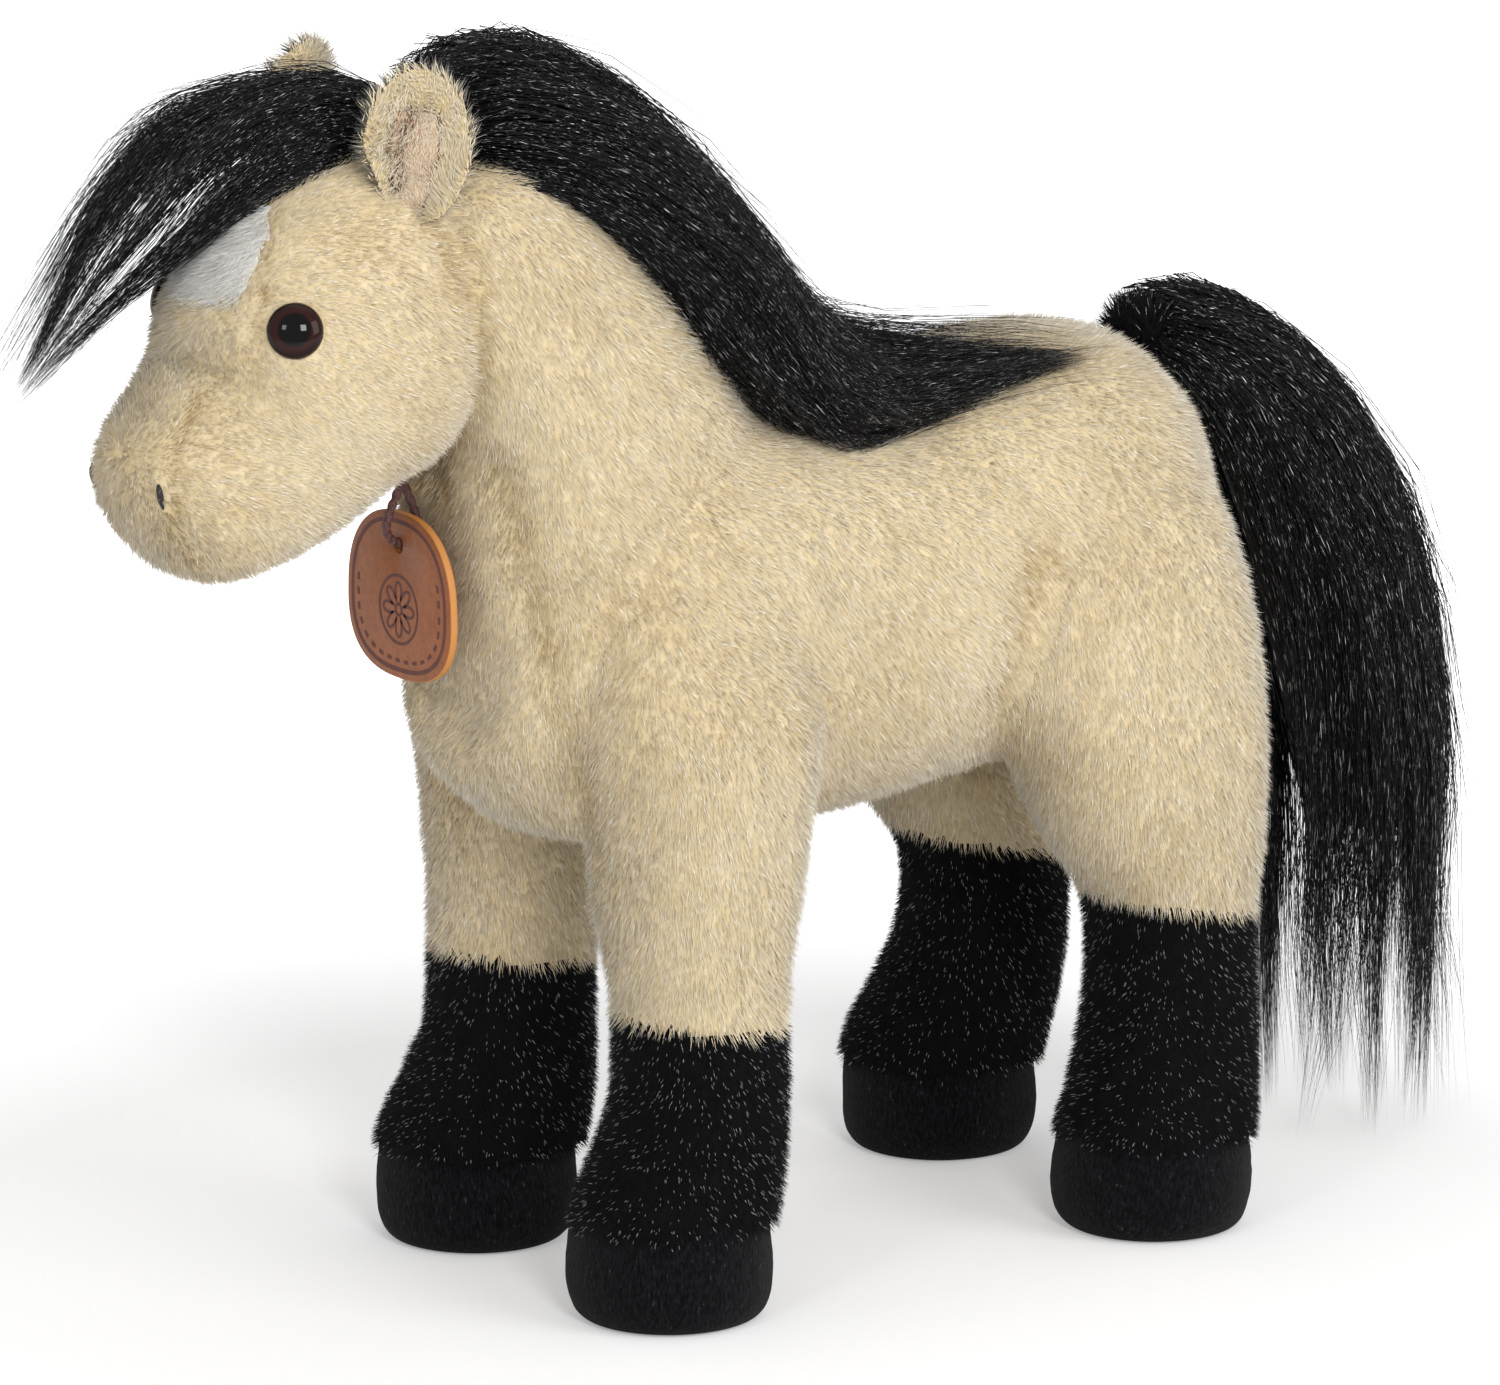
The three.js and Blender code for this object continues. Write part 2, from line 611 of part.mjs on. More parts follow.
for (const leg of legs) {
  const foot = new THREE.Vector3(leg.x, leg.y, 0);
  const shell = leg.outside.subtract(leg.inside);
  const seamNormal = new THREE.Vector3(Math.sin(leg.sockTilt), 0, Math.cos(leg.sockTilt));
  const seamReach = seamNormal.dot(new THREE.Vector3(leg.x, leg.y, leg.sockTop));
  const upper = shell.trimByPlane(seamNormal.toArray(), seamReach + seamGap);
  const lower = shell.trimByPlane(seamNormal.clone().negate().toArray(), -seamReach)
    .trimByPlane(upward.toArray(), hoofHeight);
  const hoof = turnedSolid(hoofOutline, hoofSegments, foot, upward);
  const hoofFilling = turnedSolid(hoofFillingOutline, hoofSegments, foot, upward);
  const filling = leg.filling.trimByPlane(upward.toArray(), hoofHeight).add(hoofFilling);
  addPiece(`leg_cover_${leg.name}`, subtractAll(upper, [torso.cleared, neck.cleared]), dunPlush);
  addPiece(`sock_${leg.name}`, lower, blackPlush);
  addPiece(`hoof_cover_${leg.name}`, hoof, blackVelour);
  addPiece(`sole_${leg.name}`, turnedSolid(soleOutline, hoofSegments, foot, upward), blackVelour);
  addPiece(`leg_filling_${leg.name}`, subtractAll(filling, [torso.cleared, neck.cleared]), fibreFilling);
}

// Ears: a cupped plush leaf with a thinner lining in its cup. The left one is drawn, and the right one
// mirrors it.
const earShareOnHead = 0.24;
const earAngleOnHead = THREE.MathUtils.degToRad(33);
const earCurve = new THREE.CatmullRomCurve3(earShares.map(([rise, half, cup]) =>
  new THREE.Vector3(rise * earHeight, half * earWidth, cup * earCup)));
const earBase = formPoint(headForm, earShareOnHead, earAngleOnHead);
const earRise = new THREE.Vector3(Math.sin(earLean), -Math.sin(earSplay), 1).normalize();
const earTurned = new THREE.Vector3(-Math.cos(earTurn), Math.sin(earTurn), 0);
const earHinge = earTurned.projectOnPlane(earRise).normalize();
const earFacing = earRise.clone().cross(earHinge);
const earFrame = new THREE.Matrix4().makeBasis(earHinge, earFacing, earRise).setPosition(earBase);

// A leaf between two shares of the ear's height: its back lies at a clearance before the cup's own face.
function earLeaf(plan) {
  const rows = 7;
  const columns = 6;
  const points = [];
  const triangles = [];
  for (const face of [0, 1]) {
    for (let row = 0; row <= rows; row += 1) {
      const section = earCurve.getPoint(plan.low + (plan.high - plan.low) * (row / rows));
      for (let column = 0; column <= columns; column += 1) {
        const side = (2 * column) / columns - 1;
        const sideways = side * section.y * plan.widthShare;
        const cupFace = section.z * (sideways / section.y) ** 2 - 0.5 * earCup;
        const thickness = plan.thickness * (1 - 0.5 * side ** 2);
        const depth = cupFace + plan.offset + face * thickness;
        const point = new THREE.Vector3(sideways, depth, section.x).applyMatrix4(earFrame);
        points.push(point.x, plan.mirror * point.y, point.z);
      }
    }
  }
  const at = (face, row, column) => (face * (rows + 1) + row) * (columns + 1) + column;
  const addQuad = (a, b, c, d) => {
    triangles.push(...(plan.mirror > 0 ? [a, b, c, a, c, d] : [a, c, b, a, d, c]));
  };
  for (let row = 0; row < rows; row += 1) {
    for (let column = 0; column < columns; column += 1) {
      const beside = column + 1;
      addQuad(at(0, row, column), at(0, row, beside), at(0, row + 1, beside), at(0, row + 1, column));
      addQuad(at(1, row, column), at(1, row + 1, column), at(1, row + 1, beside), at(1, row, beside));
    }
    addQuad(at(0, row, 0), at(0, row + 1, 0), at(1, row + 1, 0), at(1, row, 0));
    addQuad(at(0, row, columns), at(1, row, columns), at(1, row + 1, columns), at(0, row + 1, columns));
  }
  for (let column = 0; column < columns; column += 1) {
    addQuad(at(0, 0, column), at(1, 0, column), at(1, 0, column + 1), at(0, 0, column + 1));
    addQuad(at(0, rows, column), at(0, rows, column + 1), at(1, rows, column + 1), at(1, rows, column));
  }
  return { points, triangles };
}
const earPlans = [{ name: 'left', mirror: 1 }, { name: 'right', mirror: -1 }];
const headClearedSkin = formSkin(headForm, skinSteps.head.around, 2, seamGap);
const neckClearedSkin = formSkin(neckForm, skinSteps.neck.around, 1, seamGap);
for (const plan of earPlans) {
  const cover = earLeaf({ low: 0, high: 1, widthShare: 1, offset: -earThickness, thickness: earThickness,
    mirror: plan.mirror });
  const lining = earLeaf({ low: 0.17, high: 0.9, widthShare: 0.72, offset: seamGap,
    thickness: earLiningThickness, mirror: plan.mirror });
  const pivot = new THREE.Vector3(earBase.x, plan.mirror * earBase.y, earBase.z);
  const axis = new THREE.Vector3(earHinge.x, plan.mirror * earHinge.y, earHinge.z);
  const foldSteps = 3;
  const cutters = [];
  for (let step = 0; step <= foldSteps; step += 1) {
    const angle = (plan.mirror * earFoldRange * step) / foldSteps;
    cutters.push(solidOf(turnedAbout(headClearedSkin, pivot, axis, angle)));
    cutters.push(solidOf(turnedAbout(neckClearedSkin, pivot, axis, angle)));
  }
  addPiece(`ear_cover_${plan.name}`, subtractAll(solidOf(cover), cutters), dunPlush);
  addPiece(`ear_lining_${plan.name}`, subtractAll(solidOf(lining), cutters), earLiningFabric);
}

// Hair: fluted masses of locks. The mane lies over the crest and down the left side, and the forelock
// over the brow.
const maneForm = makeForm(
  maneShares,
  { length: maneLength, width: maneWidth, depth: maneDrop, roll: maneRoll },
  frameAt(new THREE.Vector3(maneRootX, 0, maneRootZ), new THREE.Vector3(1, 0, 0), across),
  { depthShare: 0.05, count: 9 },
);
const hairSegments = 24;
const maneCutters = [torso.cleared, neck.cleared, head.cleared];
addPiece('mane', subtractAll(solidOf(formSkin(maneForm, hairSegments, 1)), maneCutters), blackHair);
const forelockForm = makeForm(
  forelockShares,
  { length: forelockLength, width: forelockWidth, depth: forelockDrop },
  frameAt(new THREE.Vector3(forelockRootX, 0, forelockRootZ), new THREE.Vector3(-1, 0, 0),
    across.clone().negate()),
  { depthShare: 0.05, count: 8 },
);
const maneCleared = solidOf(formSkin(maneForm, hairSegments, 1, seamGap));
addPiece(
  'forelock',
  subtractAll(solidOf(formSkin(forelockForm, hairSegments, 1)), [head.cleared, neck.cleared, maneCleared]),
  blackHair,
);

// Tail: hair in an arc from the dock to above the floor, hollowed to clear the rump over its whole travel.
const tailForm = makeForm(
  tailShares,
  { length: tailLength, width: tailWidth, depth: tailDrop, girth: tailLength },
  frameAt(dockCentre, new THREE.Vector3(1, 0, 0), across),
  { depthShare: 0.05, count: 9 },
);
const torsoClearedSkin = formSkin(torsoForm, skinSteps.torso.around, 1, seamGap);
const travelSteps = [0, 0.5, 1];
const tailCutters = [dockSocket];
for (const lift of travelSteps) {
  const lifted = turnedAbout(torsoClearedSkin, dockCentre, across, lift * tailLiftRange);
  for (const swing of [-1, -0.5, 0, 0.5, 1]) {
    const axis = new THREE.Vector3(1, 0, 0).applyAxisAngle(across, lift * tailLiftRange);
    tailCutters.push(solidOf(turnedAbout(lifted, dockCentre, axis, swing * tailSwingRange)));
  }
}
addPiece('tail', subtractAll(solidOf(formSkin(tailForm, hairSegments, 1)), tailCutters), blackHair);

// Hang tag: a rounded leather plate with an eyelet hole near its top.
const tagTop = throatZ - tagHang;
function tagOutline() {
  const outline = new THREE.Shape();
  const steps = 32;
  const tagRoundness = 2.5;
  for (let step = 0; step < steps; step += 1) {
    const angle = (2 * Math.PI * step) / steps;
    const bulge = (value) => Math.sign(value) * Math.abs(value) ** (2 / tagRoundness);
    const narrow = 1 - 0.08 * Math.sin(angle);
    const x = (tagWidth / 2 - tagEdgeRound) * narrow * bulge(Math.cos(angle));
    const y = (tagHeight / 2 - tagEdgeRound) * bulge(Math.sin(angle)) - tagHeight / 2;
    if (step === 0) outline.moveTo(x, y);
    else outline.lineTo(x, y);
  }
  outline.closePath();
  const hole = new THREE.Path();
  hole.absarc(0, -tagHoleDrop, tagHoleRadius + tagEdgeRound, 0, 2 * Math.PI, true);
  outline.holes.push(hole);
  return outline;
}
const tagPlate = new THREE.ExtrudeGeometry(tagOutline(), {
  depth: tagThickness - 2 * tagEdgeRound,
  bevelThickness: tagEdgeRound,
  bevelSize: tagEdgeRound,
  bevelSegments: 1,
  curveSegments: 8,
});
const tagFrame = frameAt(
  new THREE.Vector3(tagPlaneX, 0, tagTop), across.clone().negate(), upward);
tagPlate.translate(0, 0, -tagThickness / 2 + tagEdgeRound).applyMatrix4(tagFrame);
addPiece('hang_tag', solidOf(tagPlate), tanLeather);

// Tag cord: a limp loop from the throat down before the tag, through its hole and up behind it.
const cordPoints = [
  [-125.6, -1.7, 224],
  [-125.6, -1.7, 221.4],
  [-125.7, -1.65, 218.6],
  [-126.3, -1.5, 215],
  [-127.4, -1.2, 211.4],
  [-128.8, -0.7, 207.8],
  [-129.7, -0.2, 204.2],
  [-129.1, 0, 201.3],
  [-127.2, 0, 199.5],
  [-125, 0, 198.9],
  [-122.8, 0, 199.5],
  [-120.9, 0, 201.3],
  [-120.3, 0.2, 204.2],
  [-121.2, 0.7, 207.8],
  [-122.6, 1.2, 211.4],
  [-123.7, 1.5, 215],
  [-124.3, 1.65, 218.6],
  [-124.4, 1.7, 221.4],
  [-124.4, 1.7, 224],
];
const cordRoute = new THREE.CatmullRomCurve3(cordPoints.map(([x, y, z]) => new THREE.Vector3(x, y, z)));
const cordSection = new THREE.Shape();
const cordSides = 8;
for (let side = 0; side < cordSides; side += 1) {
  const angle = (2 * Math.PI * side) / cordSides;
  const x = (cordDiameter / 2) * Math.cos(angle);
  const y = (cordDiameter / 2) * Math.sin(angle);
  if (side === 0) cordSection.moveTo(x, y);
  else cordSection.lineTo(x, y);
}
cordSection.closePath();
const cordTube = new THREE.ExtrudeGeometry(cordSection, { steps: 28, extrudePath: cordRoute });
addPiece('tag_cord', solidOf(cordTube), brownCord);

export default pony;
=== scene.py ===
"""Dresses the standing plush pony: stuffed body and its pile, socks, hooves, hair, eyes, ears and hang tag.

Lengths in this file are millimetres until a mesh is made, which is in metres. The nose points along -X, the
pony's left side along -Y, and the soles stand at height zero.
"""
import json
import logging
import math
from collections.abc import Callable
from dataclasses import dataclass, field
from enum import Enum
from functools import partial

import bmesh
import bpy
import numpy as np
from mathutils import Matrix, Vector
from mathutils.bvhtree import BVHTree


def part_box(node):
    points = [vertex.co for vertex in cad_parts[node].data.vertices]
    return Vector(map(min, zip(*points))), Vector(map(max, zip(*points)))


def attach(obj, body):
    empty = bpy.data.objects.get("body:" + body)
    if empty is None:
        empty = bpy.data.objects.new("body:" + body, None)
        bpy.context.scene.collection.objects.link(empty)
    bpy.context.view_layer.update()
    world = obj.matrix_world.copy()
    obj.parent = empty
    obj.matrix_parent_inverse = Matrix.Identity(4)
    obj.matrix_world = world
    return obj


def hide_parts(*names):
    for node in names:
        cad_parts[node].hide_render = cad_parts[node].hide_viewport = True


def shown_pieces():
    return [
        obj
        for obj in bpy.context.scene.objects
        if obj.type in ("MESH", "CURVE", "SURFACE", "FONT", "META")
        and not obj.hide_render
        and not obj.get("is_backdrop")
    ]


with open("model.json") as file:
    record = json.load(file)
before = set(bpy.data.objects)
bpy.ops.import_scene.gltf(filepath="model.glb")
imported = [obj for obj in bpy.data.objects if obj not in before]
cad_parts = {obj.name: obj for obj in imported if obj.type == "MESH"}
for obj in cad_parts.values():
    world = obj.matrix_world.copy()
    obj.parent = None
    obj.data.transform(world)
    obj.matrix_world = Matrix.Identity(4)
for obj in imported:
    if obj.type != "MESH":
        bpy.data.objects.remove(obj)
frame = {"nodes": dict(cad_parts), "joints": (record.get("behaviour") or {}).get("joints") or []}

LOG = logging.getLogger("pony")
METRES = 0.001
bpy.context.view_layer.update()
# How far along X the figure stands from the place that its forms are given at.
FIGURE_SHIFT = 10.3
LEGS = ("front_left", "front_right", "hind_left", "hind_right")
HOOF_HEIGHT = 28.0
# The legs' fabric reaches down to here, inside the hoof covers.
FABRIC_LOW = HOOF_HEIGHT - 3
# No fibre comes nearer to the floor than this.
FLOOR_GAP = 0.8
BAKE_MAP = "OFBake"
# The map's tone of the few fibres whose colour holds a painted highlight.
GLINT_TONE = 0.94
# The most fibres of pile and the most faces of strands that one piece holds, which keeps each piece light.
PIECE_FIBRES = 48000
PIECE_FACES = 190000
# The angles of a fibre's three corners, and how their tones differ on the map.
CORNERS = np.array([0, 2, 4]) * math.pi / 3
CORNER_TONES = np.array([-0.012, 0.0, 0.012])
Array = np.ndarray
Adder = Callable[..., bpy.types.Node]


def linear(code: str) -> tuple[float, float, float, float]:
    """Turns an sRGB hex colour into a linear one.

    Args:
        code: The colour as #rrggbb.

    Returns:
        Red, green, blue and an alpha of one, linear.
    """
    parts = [int(code[i:i + 2], 16) / 255 for i in (1, 3, 5)]
    bent = [c / 12.92 if c <= 0.04045 else ((c + 0.055) / 1.055) ** 2.4 for c in parts]
    return (*bent, 1.0)


def unit(vectors: Array) -> Array:
    """Scales vectors to length one along the last axis."""
    return vectors / np.maximum(np.linalg.norm(vectors, axis=-1, keepdims=True), 1e-9)


def circle(count: int) -> Array:
    """Even angles round a full turn, in radians."""
    return np.linspace(0, 2 * math.pi, count, endpoint=False)


def square_to(way: Array, hint: Array | tuple[float, float, float]) -> tuple[Array, Array]:
    """Two unit directions that are square to a way and to each other, the first one square to a hint too."""
    first = unit(np.cross(way, hint))
    return first, np.cross(way, first)


def node_point(name: str) -> Array:
    """The centre of a CAD node's box in millimetres."""
    low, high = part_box(name)
    return np.array((low + high) / 2) / METRES


def node_places(name: str) -> Array:
    """The vertices of a CAD node.

    Args:
        name: The node's name.

    Returns:
        Their places in millimetres, as (count, 3).
    """
    mesh = frame["nodes"][name].data
    places = np.empty(len(mesh.vertices) * 3, np.float32)
    mesh.vertices.foreach_get("co", places)
    return places.reshape(-1, 3).astype(float) / METRES


def joint_line(name: str) -> tuple[Array, Array]:
    """The pivot in millimetres and the axis of a joint of the frame."""
    joint = next(j for j in frame["joints"] if j["name"] == name)
    return np.array(joint["pos_m"]) / METRES, unit(np.array(joint["axis"], float))


def lattice_noise(points: Array, spacing: float, seed: int, channels: int = 1) -> Array:
    """Smooth random values: a cubic lattice of random numbers, read between its nodes by eased weights.

    Args:
        points: Places, as (count, 3).
        spacing: Distance between the lattice's nodes.
        seed: Seed of the random numbers.
        channels: How many values each place gets.

    Returns:
        Values from -1 to 1, as (count, channels).
    """
    size = 32
    table = np.random.default_rng(seed).uniform(-1, 1, (size, size, size, channels))
    place = points / spacing
    corner = np.floor(place).astype(int)
    share = place - corner
    share = share * share * (3 - 2 * share)
    total = np.zeros((len(points), channels))
    for step in range(8):
        bits = np.array([step & 1, (step >> 1) & 1, (step >> 2) & 1])
        weight = np.prod(np.where(bits == 1, share, 1 - share), axis=1)
        index = (corner + bits) % size
        total += weight[:, None] * table[index[:, 0], index[:, 1], index[:, 2]]
    return total


def grid_faces(rows: int, columns: int, wrap_rows: bool = False) -> Array:
    """Quads of a grid of vertices that are numbered row by row. The last column meets the first.

    Args:
        rows: Number of rows of vertices.
        columns: Number of columns of vertices.
        wrap_rows: Whether the last row meets the first.

    Returns:
        Vertex numbers as (faces, 4).
    """
    row = np.arange(rows if wrap_rows else rows - 1)[:, None]
    column = np.arange(columns)[None, :]
    below, beside = (row + 1) % rows, (column + 1) % columns
    quads = np.stack([row * columns + column, row * columns + beside,
                      below * columns + beside, below * columns + column], axis=-1)
    return quads.reshape(-1, 4)


def tube_faces(rings: int, segments: int) -> list[Array]:
    """Faces of a tube that one flat face closes at each end.

    Args:
        rings: Rings along the tube.
        segments: Points round each ring.

    Returns:
        Arrays of vertex numbers, one array for each number of corners.
    """
    ring = np.arange(segments)[None]
    return [grid_faces(rings, segments), ring[:, ::-1], (rings - 1) * segments + ring]


def fan_faces(rings: int, segments: int) -> list[Array]:
    """Faces of a tube whose ends are fans about two more vertices, which are numbered after the rings.

    Args:
        rings: Rings along the tube.
        segments: Points round each ring.

    Returns:
        Quads and triangles, as two arrays of vertex numbers.
    """
    count, ring = rings * segments, np.arange(segments)
    beside, last = (ring + 1) % segments, count - segments
    near = np.stack([np.full(segments, count), beside, ring], axis=1)
    far = np.stack([np.full(segments, count + 1), last + ring, last + beside], axis=1)
    return [grid_faces(rings, segments), np.vstack([near, far])]


def turned(outline: Array, segments: int) -> Array:
    """Turns an outline about the upright axis.

    Args:
        outline: The radius and the height of each ring, as (rings, 2).
        segments: Points round each ring.

    Returns:
        Points, ring by ring, as (count, 3).
    """
    angle = circle(segments)
    radius, height = outline[:, None, 0], outline[:, None, 1]
    flat = np.broadcast_to(height, (len(outline), segments))
    return np.stack([radius * np.cos(angle), radius * np.sin(angle), flat], axis=-1).reshape(-1, 3)


def mesh_piece(name: str, points: Array, face_sets: list[Array], smooth: bool = True) -> bpy.types.Object:
    """Makes an object whose place is in its mesh.

    Args:
        name: The piece's name.
        points: Vertices in millimetres, as (count, 3).
        face_sets: Arrays of vertex numbers, one array for each number of corners.
        smooth: Whether the faces are shaded smooth.

    Returns:
        The new object, linked to the scene.
    """
    counts = np.concatenate([np.full(len(faces), faces.shape[1]) for faces in face_sets])
    corners = np.concatenate([faces.ravel() for faces in face_sets])
    mesh = bpy.data.meshes.new(name)
    mesh.vertices.add(len(points))
    mesh.vertices.foreach_set("co", (points * METRES).astype(np.float32).ravel())
    mesh.loops.add(len(corners))
    mesh.loops.foreach_set("vertex_index", corners.astype(np.int32))
    mesh.polygons.add(len(counts))
    mesh.polygons.foreach_set("loop_start", (np.cumsum(counts) - counts).astype(np.int32))
    mesh.polygons.foreach_set("use_smooth", np.full(len(counts), smooth))
    mesh.update(calc_edges=True)
    piece = bpy.data.objects.new(name, mesh)
    bpy.context.scene.collection.objects.link(piece)
    return piece


def paint_map(piece: bpy.types.Object, across: Array, up: Array) -> None:
    """Gives a piece the UV map that its material reads.

    Args:
        piece: The object.
        across: The place across the map of each vertex.
        up: The place up the map of each vertex.
    """
    mesh = piece.data
    corner = np.empty(len(mesh.loops), np.int32)
    mesh.loops.foreach_get("vertex_index", corner)
    places = np.column_stack([np.ravel(across), np.ravel(up)])[corner]
    mesh.uv_layers.new(name=BAKE_MAP).data.foreach_set("uv", places.astype(np.float32).ravel())


def dress(piece: bpy.types.Object, material: bpy.types.Material, body: str, slot: str, *nodes: str) -> None:
    """Gives a piece its material, its body and the CAD nodes that it stands for.

    Args:
        piece: The object.
        material: Its material.
        body: The CAD body that it rides on.
        slot: The record's material slot; not used.
        nodes: CAD nodes that it replaces.
    """
    piece.data.materials.clear()
    piece.data.materials.append(material)
    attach(piece, body)
    if nodes:
        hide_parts(*nodes)
    LOG.info("%s: %d faces on %s", piece.name, len(piece.data.polygons), body)


def flow(keys: Array, share: Array) -> Array:
    """Centripetal Catmull-Rom curve through keys, the first key at share 0 and the last at share 1.

    Args:
        keys: Points that the curve goes through, as (count, 3).
        share: Shares of the way along the keys, of any shape.

    Returns:
        Points on the curve, with a last axis of 3.
    """
    padded = np.vstack([2 * keys[0] - keys[1], keys, 2 * keys[-1] - keys[-2]])
    steps = np.sqrt(np.linalg.norm(np.diff(padded, axis=0), axis=1))
    place = np.clip(share, 0, 1) * (len(keys) - 1)
    index = np.minimum(place.astype(int), len(keys) - 2)
    part = (place - index)[..., None]
    before, start, end, after = (padded[index + k] for k in range(4))
    first, middle, last = (steps[index + k][..., None] for k in range(3))
    leave = (start - before) / first - (end - before) / (first + middle) + (end - start) / middle
    arrive = (end - start) / middle - (after - start) / (middle + last) + (after - end) / last
    leave, arrive = leave * middle, arrive * middle
    bend = 2 * start - 2 * end + leave + arrive
    lift = -3 * start + 3 * end - 2 * leave - arrive
    return ((bend * part + lift) * part + leave) * part + start


@dataclass
class Loft:
    """A stuffed form: rows of shares read against a size, along a spine.

    A row is the place along the form, the spine's rise, the half width, the reach over and under the spine,
    and the drift to one side. A section is a rounded box between an ellipse and a square.
    """

    rows: list[tuple[float, ...]]
    length: float
    width: float
    depth: float
    origin: tuple[float, float, float]
    along: tuple[float, float, float]
    side: tuple[float, float, float]
    girth: float = 0.0
    mirror: float = 1.0
    roll: float = 0.0
    flutes: int = 0
    flute_share: float = 0.05
    roundness: float = 2.25
    least: float = 0.6

    def __post_init__(self) -> None:
        """Works out the spine's keys and the reach's keys."""
        table = np.array([(*row, 0.0)[:6] for row in self.rows])
        girth = self.girth or self.depth
        self.spine = np.column_stack([table[:, 0] * self.length, self.mirror * table[:, 5] * self.width,
                                      table[:, 1] * self.depth])
        self.reach = np.column_stack([table[:, 2] * self.width, table[:, 3] * girth, table[:, 4] * girth])
        along, side = np.array(self.along), np.array(self.side)
        self.turn = np.stack([along, side, np.cross(along, side)])

    def surface(self, share: Array, angle: Array, grow: Array | float = 0.0) -> Array:
        """Points at shares of the rows and at angles, which start at the form's side.

        Args:
            share: Shares of the rows, from 0 to 1.
            angle: Angles round the section, in radians.
            grow: How far the points stand off the form.

        Returns:
            Points in the part's frame, with a last axis of 3.
        """
        share, angle, grow = np.broadcast_arrays(share, angle, grow)
        step = 1e-4
        tangent = unit(flow(self.spine, share + step) - flow(self.spine, share - step))
        across = np.array([0.0, math.cos(self.roll), math.sin(self.roll)])
        side = unit(across - (tangent @ across)[..., None] * tangent)
        over = np.cross(tangent, side)
        reach = flow(self.reach, share)
        cosine, sine = np.cos(angle), np.sin(angle)
        lock = 1 + self.flute_share * np.cos(self.flutes * angle) if self.flutes else 1.0
        half = np.maximum(reach[..., 0] * lock + grow, self.least)
        deep = np.maximum(np.where(sine > 0, reach[..., 1], reach[..., 2]) * lock + grow, self.least)
        bulge = 2 / self.roundness
        local = (flow(self.spine, share) + tangent * (grow * (2 * share - 1))[..., None]
                 + side * (half * np.sign(cosine) * np.abs(cosine) ** bulge)[..., None]
                 + over * (deep * np.sign(sine) * np.abs(sine) ** bulge)[..., None])
        return local @ self.turn + np.array(self.origin)

    def skin(self, rings: int, segments: int, grow: float = 0.0, stop: float = 1.0,
             pinch: float = 0.0) -> tuple[Array, list[Array]]:
        """The form's closed surface.

        Args:
            rings: Rings along the form.
            segments: Points round each ring.
            grow: How far the surface stands off the form.
            stop: Share of the form where the surface ends.
            pinch: How much further it draws in at its end, over its last third.

        Returns:
            Points, and quads and triangles.
        """
        share = np.linspace(0, stop, rings)[:, None]
        grow = grow - pinch * np.clip(3 * share / stop - 2, 0, 1) ** 2
        points = self.surface(share, circle(segments)[None, :], grow).reshape(-1, 3)
        ends = np.stack([points[:segments].mean(axis=0), points[-segments:].mean(axis=0)])
        return np.vstack([points, ends]), fan_faces(rings, segments)


# The rows of the stuffed forms and of the hair. What their columns say stands with Loft.
TORSO_ROWS = [
    (0, 0.53, 0.045, 0.05, 0.05), (0.01, 0.53, 0.14, 0.14, 0.15), (0.04, 0.53, 0.25, 0.28, 0.27),
    (0.083, 0.51, 0.345, 0.37, 0.38), (0.143, 0.49, 0.415, 0.43, 0.45),
    (0.23, 0.47, 0.47, 0.46, 0.465), (0.36, 0.455, 0.49, 0.45, 0.46),
    (0.49, 0.455, 0.495, 0.42, 0.45), (0.58, 0.47, 0.5, 0.393, 0.435),
    (0.68, 0.5, 0.5, 0.418, 0.44), (0.76, 0.515, 0.5, 0.442, 0.43),
    (0.84, 0.525, 0.475, 0.43, 0.42), (0.917, 0.54, 0.4, 0.384, 0.355),
    (0.96, 0.55, 0.3, 0.29, 0.26), (0.987, 0.55, 0.16, 0.15, 0.145), (1, 0.55, 0.05, 0.05, 0.05),
]
NECK_ROWS = [
    (0, 0, 0.45, 0.46, 0.5), (0.25, 0, 0.47, 0.49, 0.48), (0.38, 0, 0.45, 0.5, 0.37),
    (0.51, 0, 0.42, 0.505, 0.28), (0.74, 0, 0.375, 0.465, 0.28), (0.9, 0, 0.33, 0.38, 0.26),
    (0.97, 0, 0.25, 0.29, 0.2), (1, 0, 0.12, 0.14, 0.1),
]
HEAD_ROWS = [
    (0, -0.1, 0.08, 0.08, 0.08), (0.034, -0.1, 0.24, 0.25, 0.25), (0.12, -0.09, 0.385, 0.425, 0.4),
    (0.24, -0.06, 0.465, 0.51, 0.475), (0.376, -0.05, 0.5, 0.52, 0.5),
    (0.513, -0.06, 0.49, 0.455, 0.49), (0.624, -0.09, 0.45, 0.385, 0.41),
    (0.744, -0.1, 0.405, 0.37, 0.36), (0.846, -0.1, 0.37, 0.36, 0.3),
    (0.923, -0.1, 0.325, 0.32, 0.245), (0.974, -0.1, 0.24, 0.235, 0.175),
    (1, -0.1, 0.11, 0.11, 0.08),
]
FORE_LEG_ROWS = [
    (0.04, 0, 0.49, 0.49, 0.49), (0.1, 0, 0.5, 0.5, 0.5), (0.16, -0.08, 0.477, 0.477, 0.477, 0.01),
    (0.215, -0.15, 0.452, 0.452, 0.452, 0.02), (0.28, -0.2, 0.418, 0.418, 0.418, 0.02),
    (0.4, -0.205, 0.412, 0.412, 0.412, 0.03), (0.54, -0.23, 0.485, 0.49, 0.49, 0.09),
    (0.63, -0.25, 0.5, 0.535, 0.535, 0.1), (0.76, -0.26, 0.51, 0.62, 0.62, 0.14),
    (0.87, -0.29, 0.425, 0.61, 0.61, 0.22), (0.95, -0.3, 0.27, 0.46, 0.46, 0.33),
    (1, -0.3, 0.06, 0.1, 0.1, 0.42),
]
